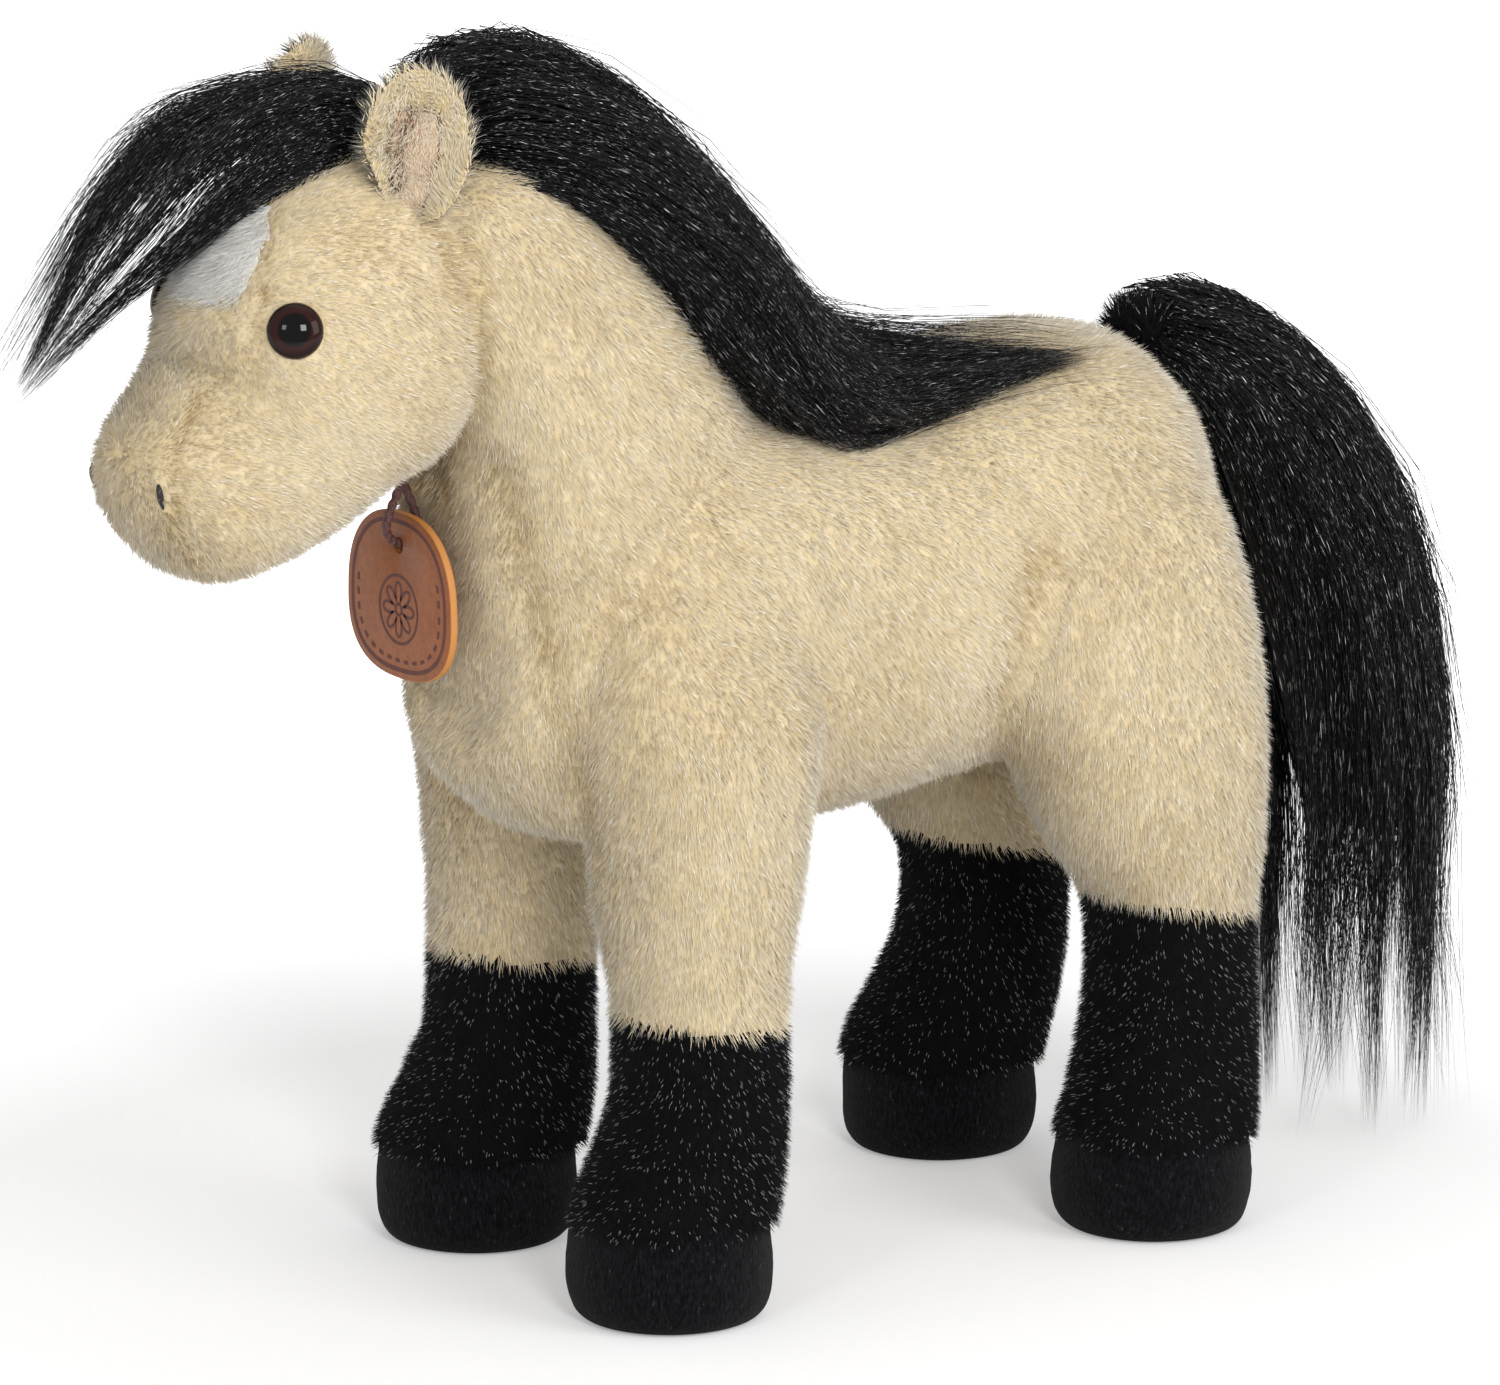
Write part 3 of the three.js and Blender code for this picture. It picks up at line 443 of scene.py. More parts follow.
HIND_LEG_ROWS = [
    (0.04, 0, 0.49, 0.49, 0.49), (0.1, 0, 0.5, 0.5, 0.5),
    (0.148, -0.065, 0.475, 0.475, 0.475, 0.03), (0.23, -0.16, 0.44, 0.44, 0.44, 0.09),
    (0.33, -0.2, 0.418, 0.418, 0.418, 0.12), (0.4, -0.18, 0.425, 0.425, 0.425, 0.12),
    (0.46, -0.14, 0.465, 0.505, 0.49, 0.1), (0.555, -0.03, 0.51, 0.65, 0.615, 0.085),
    (0.695, 0.05, 0.52, 0.77, 0.66, 0.13), (0.83, 0.09, 0.46, 0.71, 0.63, 0.235),
    (0.94, 0.125, 0.29, 0.46, 0.44, 0.365), (1, 0.13, 0.06, 0.1, 0.1, 0.46),
]
MANE_ROWS = [
    (0, 0, 0.16, 0.06, 0.08), (0.08, 0.07, 0.37, 0.16, 0.17, -0.04),
    (0.185, 0.03, 0.47, 0.17, 0.2, -0.12), (0.29, -0.13, 0.52, 0.165, 0.2, -0.19),
    (0.39, -0.38, 0.54, 0.15, 0.2, -0.25), (0.475, -0.66, 0.54, 0.14, 0.2, -0.3),
    (0.57, -0.88, 0.46, 0.11, 0.16, -0.34), (0.69, -0.955, 0.31, 0.08, 0.1, -0.28),
    (0.83, -0.95, 0.17, 0.055, 0.06, -0.39), (0.94, -0.92, 0.08, 0.035, 0.04, -0.51),
    (1, -0.93, 0.03, 0.02, 0.02, -0.57),
]
FORELOCK_ROWS = [
    (0, 0, 0.25, 0.08, 0.1), (0.17, 0.09, 0.33, 0.1, 0.13, -0.03),
    (0.37, 0.08, 0.42, 0.11, 0.12, -0.16), (0.55, -0.03, 0.5, 0.1, 0.1, -0.33),
    (0.7, -0.24, 0.43, 0.085, 0.085, -0.5), (0.83, -0.5, 0.3, 0.07, 0.07, -0.68),
    (0.94, -0.76, 0.14, 0.045, 0.045, -0.82), (1, -0.94, 0.03, 0.015, 0.015, -0.9),
]
TAIL_ROWS = [
    (0.02, 0.01, 0.17, 0.11, 0.1), (0.17, 0, 0.25, 0.15, 0.15), (0.4, -0.055, 0.34, 0.2, 0.22),
    (0.63, -0.16, 0.42, 0.26, 0.27), (0.82, -0.31, 0.48, 0.285, 0.285),
    (0.925, -0.47, 0.49, 0.285, 0.29), (0.95, -0.63, 0.47, 0.265, 0.28),
    (0.93, -0.79, 0.42, 0.24, 0.26), (0.905, -0.9, 0.33, 0.2, 0.22),
    (0.885, -0.97, 0.19, 0.12, 0.13), (0.875, -1, 0.05, 0.03, 0.03),
]
# Height up the ear, half width and depth of its cup, as shares of the ear's sizes.
EAR_ROWS = np.array([
    (-0.13, 0.27, 1), (0, 0.33, 1), (0.16, 0.43, 0.95), (0.38, 0.5, 0.8), (0.6, 0.47, 0.55),
    (0.8, 0.37, 0.32), (0.93, 0.22, 0.15), (1, 0.06, 0.06),
])


@dataclass
class PhotoCamera:
    """The camera: its angle, its distance and where its target falls in the photograph."""

    azimuth: float = -35.0
    elevation: float = 12.8
    distance: float = 2500.0
    target: tuple[float, float, float] = (FIGURE_SHIFT, 0.0, 150.0)
    pixels_per_mm: float = 3.85
    image: tuple[int, int] = (1500, 1385)
    target_pixel: tuple[float, float] = (809.3, 669.4)
    sensor: float = 36.0

    def axes(self) -> tuple[Array, Array, Array]:
        """The directions back to the camera, right and up in its picture."""
        turn, tilt = math.radians(self.azimuth), math.radians(self.elevation)
        back = np.array([math.sin(turn) * math.cos(tilt), -math.cos(turn) * math.cos(tilt), math.sin(tilt)])
        right = np.array([math.cos(turn), math.sin(turn), 0.0])
        return back, right, np.cross(back, right)

    def pixels(self, points: Array) -> Array:
        """Where points show in the photograph.

        Args:
            points: Points as (count, 3).

        Returns:
            Pixel coordinates as (count, 2).
        """
        back, right, up = self.axes()
        local = points - np.array(self.target)
        scale = self.pixels_per_mm * self.distance / (self.distance - local @ back)
        return np.column_stack([self.target_pixel[0] + scale * (local @ right),
                                self.target_pixel[1] - scale * (local @ up)])

    def build(self) -> None:
        """Makes the scene's camera."""
        back, _, _ = self.axes()
        data = bpy.data.cameras.new("camera")
        data.sensor_width = self.sensor
        wide = self.image[0]
        data.lens = self.pixels_per_mm * self.distance * self.sensor / wide
        data.shift_x = (wide / 2 - self.target_pixel[0]) / wide
        data.shift_y = (self.target_pixel[1] - self.image[1] / 2) / wide
        data.clip_start, data.clip_end = 0.1, 20.0
        camera = bpy.data.objects.new("camera", data)
        bpy.context.scene.collection.objects.link(camera)
        camera.location = (np.array(self.target) + back * self.distance) * METRES
        camera.rotation_mode = "QUATERNION"
        camera.rotation_quaternion = Vector(-back).to_track_quat("-Z", "Y")
        bpy.context.scene.camera = camera

    def cast(self, pixels: list[tuple[float, float]], tree: BVHTree) -> Array:
        """Puts pixels of the photograph on a surface.

        Args:
            pixels: Pixel coordinates.
            tree: The surface, in millimetres.

        Returns:
            The points met, as (count, 3). A pixel that misses the surface is left out.
        """
        back, right, up = self.axes()
        eye = np.array(self.target) + back * self.distance
        met = []
        for u, v in pixels:
            aim = (np.array(self.target) + right * (u - self.target_pixel[0]) / self.pixels_per_mm
                   + up * (self.target_pixel[1] - v) / self.pixels_per_mm)
            place, _, _, _ = tree.ray_cast(Vector(eye), Vector(unit(aim - eye)))
            if place is not None:
                met.append(place)
        return np.array(met, float).reshape(-1, 3)


def add_node(tree: bpy.types.NodeTree, kind: str | bpy.types.Node, settings: dict | None = None,
             links: dict | None = None) -> bpy.types.Node:
    """Adds a node with its settings and its links, or gives them to a node that is there.

    Args:
        tree: The node tree.
        kind: The new node's type without its first word, or the node that is there.
        settings: Attributes of the node by name, values of its input sockets by name or number, and a colour
            ramp's places and sRGB colours, in order, under the word stops.
        links: Output sockets by the name or number of the input socket that they feed.

    Returns:
        The node.
    """
    node = tree.nodes.new(f"ShaderNode{kind}") if isinstance(kind, str) else kind
    for key, value in (settings or {}).items():
        if key == "stops":
            elements = node.color_ramp.elements
            while len(elements) < len(value):
                elements.new(0.5)
            for element, (place, colour) in zip(elements, value):
                element.position, element.color = place, linear(colour)
        elif isinstance(key, str) and hasattr(node, key):
            setattr(node, key, value)
        else:
            node.inputs[key].default_value = value
    for key, socket in (links or {}).items():
        tree.links.new(socket, node.inputs[key])
    return node


def band(*places: float) -> list[tuple[float, str]]:
    """A ramp's stops that rise from black to white between two places, and fall between two more."""
    return list(zip(places, ("#000000", "#FFFFFF", "#FFFFFF", "#000000")))


def cells(size: float) -> float:
    """The scale of a texture whose cells are a size in millimetres."""
    return 1 / (size * METRES)


def new_material(name: str) -> tuple[bpy.types.Material, Adder, bpy.types.Node]:
    """A material with a Principled shader.

    Args:
        name: The material's name.

    Returns:
        The material, the node helper bound to its tree, and its shader node.
    """
    material = bpy.data.materials.new(name)
    material.use_nodes = True
    tree = material.node_tree
    return material, partial(add_node, tree), tree.nodes["Principled BSDF"]


@dataclass(frozen=True)
class PilePlush:
    """Cut polyester pile: a fibre is darker at its root and pale at its tip, and the tones differ in tufts.

    The eye sees a soft even colour with a fine grain, and a few fibres in each hundred with a painted
    highlight.
    """

    name: str
    root: str
    middle: str
    tip: str
    # The colour of the lowest tone, which random darker fibres and painted shade both reach.
    dark_tone: str
    glint: str
    roughness: float = 0.9
    sheen: float = 0.3
    specular: float = 0.1

    def material(self) -> bpy.types.Material:
        """The fibres' material: their map holds the tone across and the way from root to tip upwards."""
        material, add, shader = new_material(self.name)
        place = add("UVMap", {"uv_map": BAKE_MAP})
        parts = add("SeparateXYZ", links={0: place.outputs[0]})
        along = {"stops": [(0.0, self.root), (0.45, self.middle), (1.0, self.tip)]}
        length = add("ValToRGB", along, {0: parts.outputs["Y"]})
        tones = {"stops": [(0.0, self.dark_tone), (0.7, "#FFFFFF")]}
        tone = add("ValToRGB", tones, {0: parts.outputs["X"]})
        product = {"data_type": "RGBA", "blend_type": "MULTIPLY", "Factor": 1.0}
        colour = add("Mix", product, {6: length.outputs[0], 7: tone.outputs[0]})
        # Painted highlight: fibres of the glint's tone get the glint colour in a band part way up, under any
        # light.
        only_glints = {"From Min": GLINT_TONE - 0.06, "From Max": GLINT_TONE - 0.03}
        lit = add("MapRange", only_glints, {"Value": parts.outputs["X"]})
        upper = add("ValToRGB", {"stops": band(0.42, 0.52, 0.72, 0.82)}, {0: parts.outputs["Y"]})
        both = add("Math", {"operation": "MULTIPLY"}, {0: lit.outputs[0], 1: upper.outputs[0]})
        shown = add("Mix", {"data_type": "RGBA", 7: linear(self.glint)},
                    {0: both.outputs[0], 6: colour.outputs[2]})
        add(shader, {"Roughness": self.roughness, "Specular IOR Level": self.specular,
                     "Sheen Weight": self.sheen, "Sheen Roughness": 0.5}, {"Base Color": shown.outputs[2]})
        return material


@dataclass(frozen=True)
class KnitBacking:
    """Knitted polyester backing of the pile: rows of loops with a soft mottle, seen only between fibres."""

    name: str
    thread: str
    shade: str
    loop_mm: float = 1.2
    mottle_mm: float = 6.0

    def material(self) -> bpy.types.Material:
        """The backing's material."""
        material, add, shader = new_material(self.name)
        place = add("TexCoord").outputs["Object"]
        mottle = add("TexNoise", {"Scale": cells(self.mottle_mm), "Detail": 3.0}, {"Vector": place})
        colour = add("ValToRGB", {"stops": [(0.35, self.shade), (0.65, self.thread)]},
                     {0: mottle.outputs["Fac"]})
        loops = add("TexVoronoi", {"Scale": cells(self.loop_mm)}, {"Vector": place})
        bump = add("Bump", {"Strength": 0.5, "Distance": 0.3 * METRES}, {"Height": loops.outputs["Distance"]})
        add(shader, {"Roughness": 0.95, "Specular IOR Level": 0.15},
            {"Base Color": colour.outputs[0], "Normal": bump.outputs[0]})
        return material


@dataclass(frozen=True)
class HairFibre:
    """Straight modacrylic hair fibre: near black, with short pale dashes of painted highlight in its colour.

    The dashes are a smooth noise over the fibres' map: about 2 mm long on a long fibre, half a fibre wide.
    """

    name: str
    shade: str
    body: str
    glint: str
    across: float = 90.0
    dashes: float = 34.0
    threshold: float = 0.65
    roughness: float = 0.5

    def material(self) -> bpy.types.Material:
        """The fibres' material: their map holds the tone across and the way from root to tip upwards."""
        material, add, shader = new_material(self.name)
        place = add("UVMap", {"uv_map": BAKE_MAP})
        stretched = add("Mapping", {"Scale": (self.across, self.dashes, 1.0)}, {0: place.outputs[0]})
        noise = add("TexNoise", {"Scale": 1.0, "Detail": 1.0}, {0: stretched.outputs[0]})
        # The glint stop is a painted highlight.
        stops = [(0.3, self.shade), (self.threshold, self.body), (self.threshold + 0.07, self.glint)]
        colour = add("ValToRGB", {"stops": stops}, {0: noise.outputs["Fac"]})
        add(shader, {"Roughness": self.roughness, "Specular IOR Level": 0.2},
            {"Base Color": colour.outputs[0]})
        return material


@dataclass(frozen=True)
class Velour:
    """Short sheared velour: deep black, brushed downwards, with a fine grain of fibre ends and some lint."""

    name: str
    shade: str
    dust: str
    lint: str
    grain_mm: float = 0.7

    def material(self) -> bpy.types.Material:
        """The velour's material. The brushed streaks are three times as tall as they are wide."""
        material, add, shader = new_material(self.name)
        place = add("TexCoord")
        brushed = add("Mapping", {"Scale": (1.0, 1.0, 0.33)}, {0: place.outputs["Object"]})
        grain = add("TexNoise", {"Scale": cells(self.grain_mm), "Detail": 4.0, "Roughness": 0.7},
                    {"Vector": brushed.outputs[0]})
        stops = [(0.4, self.shade), (0.66, self.dust), (0.75, self.lint)]
        colour = add("ValToRGB", {"stops": stops}, {0: grain.outputs["Fac"]})
        bump = add("Bump", {"Strength": 0.9, "Distance": 0.5 * METRES}, {"Height": grain.outputs["Fac"]})
        add(shader, {"Roughness": 1.0, "Specular IOR Level": 0.05, "Sheen Weight": 0.05},
            {"Base Color": colour.outputs[0], "Normal": bump.outputs[0]})
        return material


@dataclass(frozen=True)
class EyePlastic:
    """Moulded acrylic safety eye: a glossy dome over a black pupil inside a red-brown ring."""

    pupil: str = "#030303"
    ring: str = "#2E0F0B"
    edge: str = "#1C0807"

    def material(self) -> bpy.types.Material:
        """The eye's material: its map runs from the middle, at 0, to the rim, at 1."""
        material, add, shader = new_material("acrylic_eye")
        place = add("UVMap", {"uv_map": BAKE_MAP})
        parts = add("SeparateXYZ", links={0: place.outputs[0]})
        flecks = add("TexNoise", {"Scale": 40.0}, {"Vector": place.outputs[0]})
        way = add("Math", {"operation": "MULTIPLY_ADD", 1: 0.06},
                  {0: flecks.outputs["Fac"], 2: parts.outputs["X"]})
        stops = [(0.0, self.pupil), (0.58, self.pupil), (0.68, self.ring), (0.96, self.edge)]
        colour = add("ValToRGB", {"stops": stops}, {0: way.outputs[0]})
        add(shader, {"Roughness": 0.04, "IOR": 1.49, "Specular IOR Level": 0.16},
            {"Base Color": colour.outputs[0]})
        return material


@dataclass(frozen=True)
class TanLeather:
    """Vegetable-tanned leather: warm brown face with fine pores and a soft mottle, and a pale cut edge."""

    face: str = "#925834"
    shade: str = "#804B2B"
    edge: str = "#BE8144"
    pore_mm: float = 0.45
    mottle_mm: float = 2.2

    def material(self) -> bpy.types.Material:
        """The leather's material: its map runs up from the hole's front edge, over the rim, to the back."""
        material, add, shader = new_material("tanned_leather")
        place = add("TexCoord").outputs["Object"]
        mottle = add("TexNoise", {"Scale": cells(self.mottle_mm), "Detail": 6.0, "Roughness": 0.7},
                     {"Vector": place})
        colour = add("ValToRGB", {"stops": [(0.35, self.shade), (0.62, self.face)]},
                     {0: mottle.outputs["Fac"]})
        around = add("UVMap", {"uv_map": BAKE_MAP})
        parts = add("SeparateXYZ", links={0: around.outputs[0]})
        raw = add("ValToRGB", {"stops": band(0.34, 0.4, 0.62, 0.68)}, {0: parts.outputs["Y"]})
        shown = add("Mix", {"data_type": "RGBA", 7: linear(self.edge)},
                    {0: raw.outputs[0], 6: colour.outputs[0]})
        pores = add("TexVoronoi", {"Scale": cells(self.pore_mm)}, {"Vector": place})
        bump = add("Bump", {"Strength": 0.35, "Distance": 0.1 * METRES},
                   {"Height": pores.outputs["Distance"]})
        add(shader, {"Roughness": 0.55, "Specular IOR Level": 0.3},
            {"Base Color": shown.outputs[2], "Normal": bump.outputs[0]})
        return material


@dataclass(frozen=True)
class PlainThread:
    """Dyed thread, cord or print: a slight mottle along its fibres."""

    name: str
    light: str
    dark: str
    roughness: float = 0.7
    fibre_mm: float = 0.4

    def material(self) -> bpy.types.Material:
        """The thread's material."""
        material, add, shader = new_material(self.name)
        place = add("TexCoord")
        fibre = add("TexNoise", {"Scale": cells(self.fibre_mm)}, {"Vector": place.outputs["Object"]})
        colour = add("ValToRGB", {"stops": [(0.3, self.dark), (0.7, self.light)]}, {0: fibre.outputs["Fac"]})
        add(shader, {"Roughness": self.roughness}, {"Base Color": colour.outputs[0]})
        return material


@dataclass(frozen=True)
class Finishes:
    """The object's materials, made once each."""

    dun: bpy.types.Material
    dun_backing: bpy.types.Material
    white: bpy.types.Material
    white_backing: bpy.types.Material
    black: bpy.types.Material
    black_backing: bpy.types.Material
    lining: bpy.types.Material
    lining_backing: bpy.types.Material
    hair: bpy.types.Material
    velour: bpy.types.Material
    eye: bpy.types.Material
    leather: bpy.types.Material
    cord: bpy.types.Material
    dark_thread: bpy.types.Material
    tag_print: bpy.types.Material


def make_finishes() -> Finishes:
    """Makes the materials of the pony's fabrics, hair, plastic and leather."""
    recipes = {
        # A pile's last colour and the hair's last colour are painted highlights. A pile's dark tone is also
        # the colour that painted shade reaches, most of all in the ear lining's fold.
        "dun": PilePlush("dun_pile", "#D2BC93", "#E6D6B6", "#F5ECDA", "#CCB994", "#FFFDF6"),
        "dun_backing": KnitBacking("dun_backing", "#E0CEAA", "#D6C298"),
        "white": PilePlush("white_pile", "#F2F0E6", "#FFFDF6", "#FFFFFF", "#F6F6F2", "#FFFFFF"),
        "white_backing": KnitBacking("white_backing", "#E8E5DE", "#DAD6CE"),
        "black": PilePlush("black_pile", "#060607", "#0D0D0F", "#161619", "#808080", "#A0A0A4",
                           roughness=0.8, sheen=0.02),
        "black_backing": KnitBacking("black_backing", "#0A0A0B", "#050506"),
        "lining": PilePlush("lining_pile", "#D0B294", "#EAD4B8", "#F6E8D2", "#2E1A16", "#F8EEDC"),
        "lining_backing": KnitBacking("lining_backing", "#D0B294", "#B08C72"),
        "hair": HairFibre("hair_fibre", "#050506", "#0A0A0C", "#F0F0F4"),
        "velour": Velour("hoof_velour", "#060607", "#1A1A1D", "#66666A"),
        "eye": EyePlastic(),
        "leather": TanLeather(),
        "cord": PlainThread("waxed_cord", "#6A4440", "#2A1012"),
        "dark_thread": PlainThread("nostril_thread", "#1C1613", "#0A0706"),
        "tag_print": PlainThread("tag_print", "#5A2A1E", "#46201A", fibre_mm=2.0),
    }
    return Finishes(**{part: recipe.material() for part, recipe in recipes.items()})


@dataclass(frozen=True)
class Pile:
    """How a pile fabric's fibres stand on their backing.

    The nap is the way that the fibres are brushed, and the lean is their mean angle from straight up. The
    other directions and tones come from smooth noises, whose spacings are tuft, brush, step, patch and grain.
    """

    density: float
    length: float
    width: float
    lean: float
    nap: tuple[float, float, float]
    ruffle: float = 0.14
    spread: float = 0.14
    # Share of fibres whose colour holds a painted highlight.
    glints: float = 0.06
    field: int = 61
    tuft: float = 3.4
    brush: float = 19.0
    step: float = 7.0
    patch: float = 26.0
    grain: float = 5.0
    least_rise: float = 0.18
    sunk: float = 0.4
    jitter: float = 0.8

    def rise(self) -> float:
        """How far the pile's surface stands off its backing."""
        return self.length * math.cos(math.radians(self.lean))


@dataclass
class Skin:
    """A triangulated surface in millimetres, that pile grows on.

    Each vertex has a normal and a tone shift, which can carry painted shade and painted light.
    """

    points: Array
    normals: Array
    triangles: Array
    tones: Array

    @classmethod
    def of(cls, piece: bpy.types.Object) -> "Skin":
        """Reads a skin from an object's mesh.

        Args:
            piece: The object.

        Returns:
            The skin, without tone shifts.
        """
        mesh = piece.data
        mesh.calc_loop_triangles()
        points = np.empty(len(mesh.vertices) * 3, np.float32)
        normals = np.empty(len(mesh.vertices) * 3, np.float32)
        triangles = np.empty(len(mesh.loop_triangles) * 3, np.int32)
        mesh.vertices.foreach_get("co", points)
        mesh.vertex_normals.foreach_get("vector", normals)
        mesh.loop_triangles.foreach_get("vertices", triangles)
        return cls(points.reshape(-1, 3).astype(float) / METRES, normals.reshape(-1, 3).astype(float),
                   triangles.reshape(-1, 3), np.zeros(len(mesh.vertices)))

    def part(self, chosen: Array) -> "Skin":
        """The part of the skin that the chosen triangles make."""
        used, triangles = np.unique(self.triangles[chosen], return_inverse=True)
        return Skin(self.points[used], self.normals[used], triangles.reshape(-1, 3), self.tones[used])

    def refined(self, chosen: Array) -> "Skin":
        """Cuts each chosen triangle into four at the middles of its sides.

        Args:
            chosen: Whether each triangle is cut.

        Returns:
            The skin with the cut triangles.
        """
        corner = self.triangles[chosen]
        pairs = np.stack([corner, np.roll(corner, -1, axis=1)])
        points, normals = (values[pairs].mean(axis=0).reshape(-1, 3)
                           for values in (self.points, self.normals))
        tones = self.tones[pairs].mean(axis=0).reshape(-1)
        a, b, c = corner.T
        ab, bc, ca = (len(self.points) + np.arange(len(tones)).reshape(-1, 3)).T
        quarters = [np.stack(k, axis=1) for k in ((a, ab, ca), (ab, b, bc), (ca, bc, c), (ab, bc, ca))]
        return Skin(np.vstack([self.points, points]), np.vstack([self.normals, unit(normals)]),
                    np.vstack([self.triangles[~chosen], *quarters]), np.append(self.tones, tones))

    def middles(self) -> Array:
        """Each triangle's middle."""
        return self.points[self.triangles].mean(axis=1)

    def areas(self) -> Array:
        """Each triangle's area."""
        a, b, c = (self.points[self.triangles[:, k]] for k in range(3))
        return np.linalg.norm(np.cross(b - a, c - a), axis=1) / 2

    def tree(self) -> BVHTree:
        """The skin as a tree, for rays and nearest places."""
        return BVHTree.FromPolygons([Vector(p) for p in self.points], self.triangles.tolist())

    def scatter(self, density: float, rng: np.random.Generator) -> tuple[Array, Array, Array]:
        """Spreads places evenly over the skin: each falls in a triangle by area, at random shares of corners.

        Args:
            density: Places on each square millimetre.
            rng: Source of the random numbers.

        Returns:
            Places, their normals and their shifts of tone.
        """
        reach = np.cumsum(self.areas())
        count = int(reach[-1] * density)
        chosen = np.searchsorted(reach, (np.arange(count) + rng.random(count)) / count * reach[-1])
        corner = self.triangles[np.minimum(chosen, len(reach) - 1)]
        u, v = rng.random((2, count, 1))
        flip = u + v > 1
        u, v = np.where(flip, 1 - u, u), np.where(flip, 1 - v, v)
        weights = np.concatenate([1 - u - v, u, v], axis=1)
        places = np.einsum("pk,pkc->pc", weights, self.points[corner])
        normals = np.einsum("pk,pkc->pc", weights, self.normals[corner])
        return places, unit(normals), (weights * self.tones[corner]).sum(axis=1)


@dataclass(frozen=True)
class Clearing:
    """A round place where no pile grows or lies, such as round an eye."""

    centre: Array
    radius: float

    def keeps(self, points: Array) -> Array:
        """Which points lie outside the clearing."""
        return np.linalg.norm(points - self.centre, axis=1) > self.radius


def grow_pile(name: str, skin: Skin, pile: Pile, seed: int,
              clearings: tuple[Clearing, ...] = ()) -> bpy.types.Object:
    """Makes the fibres of a pile fabric: each is a closed spike of three sides, from a sunk root to a point.

    A fibre's direction is the skin's normal turned towards the nap by the lean, and pushed by two fields of
    smooth noise so that neighbours lie in tufts. No fibre lies flatter than the least rise. The normals that
    shade a fibre are mostly the skin's own, so that the pile is shaded as one soft surface. Its tone is a
    middle tone plus the skin's shift, two smooth noises and a random part; a few fibres get the glint's tone.

    Args:
        name: The piece's name.
        skin: The surface that it grows on.
        pile: The fibres' sizes.
        seed: Seed of the random numbers.
        clearings: Places without pile.

    Returns:
        The object, with its map.
    """
    rng = np.random.default_rng(seed)
    roots, normals, shift = skin.scatter(pile.density, rng)
    count = len(roots)
    roots = roots + pile.jitter * np.cross(normals, rng.standard_normal((count, 3)))
    tuft = lattice_noise(roots, pile.tuft, pile.field, 3)
    nap = np.array(pile.nap) + 0.35 * lattice_noise(roots, pile.brush, pile.field + 1, 3)
    nap = unit(nap - (nap * normals).sum(axis=1, keepdims=True) * normals)
    lean = np.radians(pile.lean) * (1 + 0.12 * rng.standard_normal(count))
    way = normals * np.cos(lean)[:, None] + nap * np.sin(lean)[:, None]
    way = unit(way + pile.ruffle * tuft + pile.spread * rng.standard_normal((count, 3)))
    rise = (way * normals).sum(axis=1)
    way = unit(way + normals * np.maximum(pile.least_rise - rise, 0)[:, None])
    uneven = 0.14 * lattice_noise(roots, pile.step, pile.field + 2)[:, 0]
    lengths = pile.length * (0.82 + uneven + 0.25 * rng.random(count))
    tips = roots + way * lengths[:, None]
    kept = tips[:, 2] > FLOOR_GAP
    for clearing in clearings:
        for places in (roots, roots + way * 0.6 * lengths[:, None], tips):
            kept &= clearing.keeps(places)
    roots, normals, way, tips, tuft, shift = (a[kept] for a in (roots, normals, way, tips, tuft, shift))
    count = len(roots)
    twist = rng.random(count) * 2 * math.pi
    first, second = square_to(way, rng.standard_normal((count, 3)))
    angles = twist[:, None] + CORNERS
    radius = pile.width / 2 * (0.8 + 0.4 * rng.random(count))
    ring = first[:, None] * np.cos(angles)[..., None] + second[:, None] * np.sin(angles)[..., None]
    base = (roots - pile.sunk * normals)[:, None] + ring * radius[:, None, None]
    points = np.concatenate([base, tips[:, None]], axis=1).reshape(-1, 3)
    start = 4 * np.arange(count)[:, None]
    spike = np.array([(0, 1, 3), (1, 2, 3), (2, 0, 3), (0, 2, 1)])
    piece = mesh_piece(name, points, [np.concatenate([start + face for face in spike])])
    # The skin's shift can carry painted shade and painted light.
    tone = (0.58 + shift + 0.16 * lattice_noise(roots, pile.patch, pile.field + 3)[:, 0]
            + 0.11 * lattice_noise(roots, pile.grain, pile.field + 4)[:, 0]
            + 0.09 * rng.standard_normal(count))
    # A few fibres get the glint's tone, which their material paints as a highlight.
    tone = np.where(rng.random(count) < pile.glints, GLINT_TONE, np.clip(tone, 0.03, 0.8))
    up = np.tile([0.03, 0.03, 0.03, 0.97], (count, 1))
    paint_map(piece, tone[:, None] + np.append(CORNER_TONES, 0.0), up)
    shade = unit(normals + 0.13 * rng.standard_normal((count, 3)) + 0.21 * tuft)
    piece.data.normals_split_custom_set_from_vertices(np.repeat(shade, 4, axis=0).astype(np.float32))
    return piece


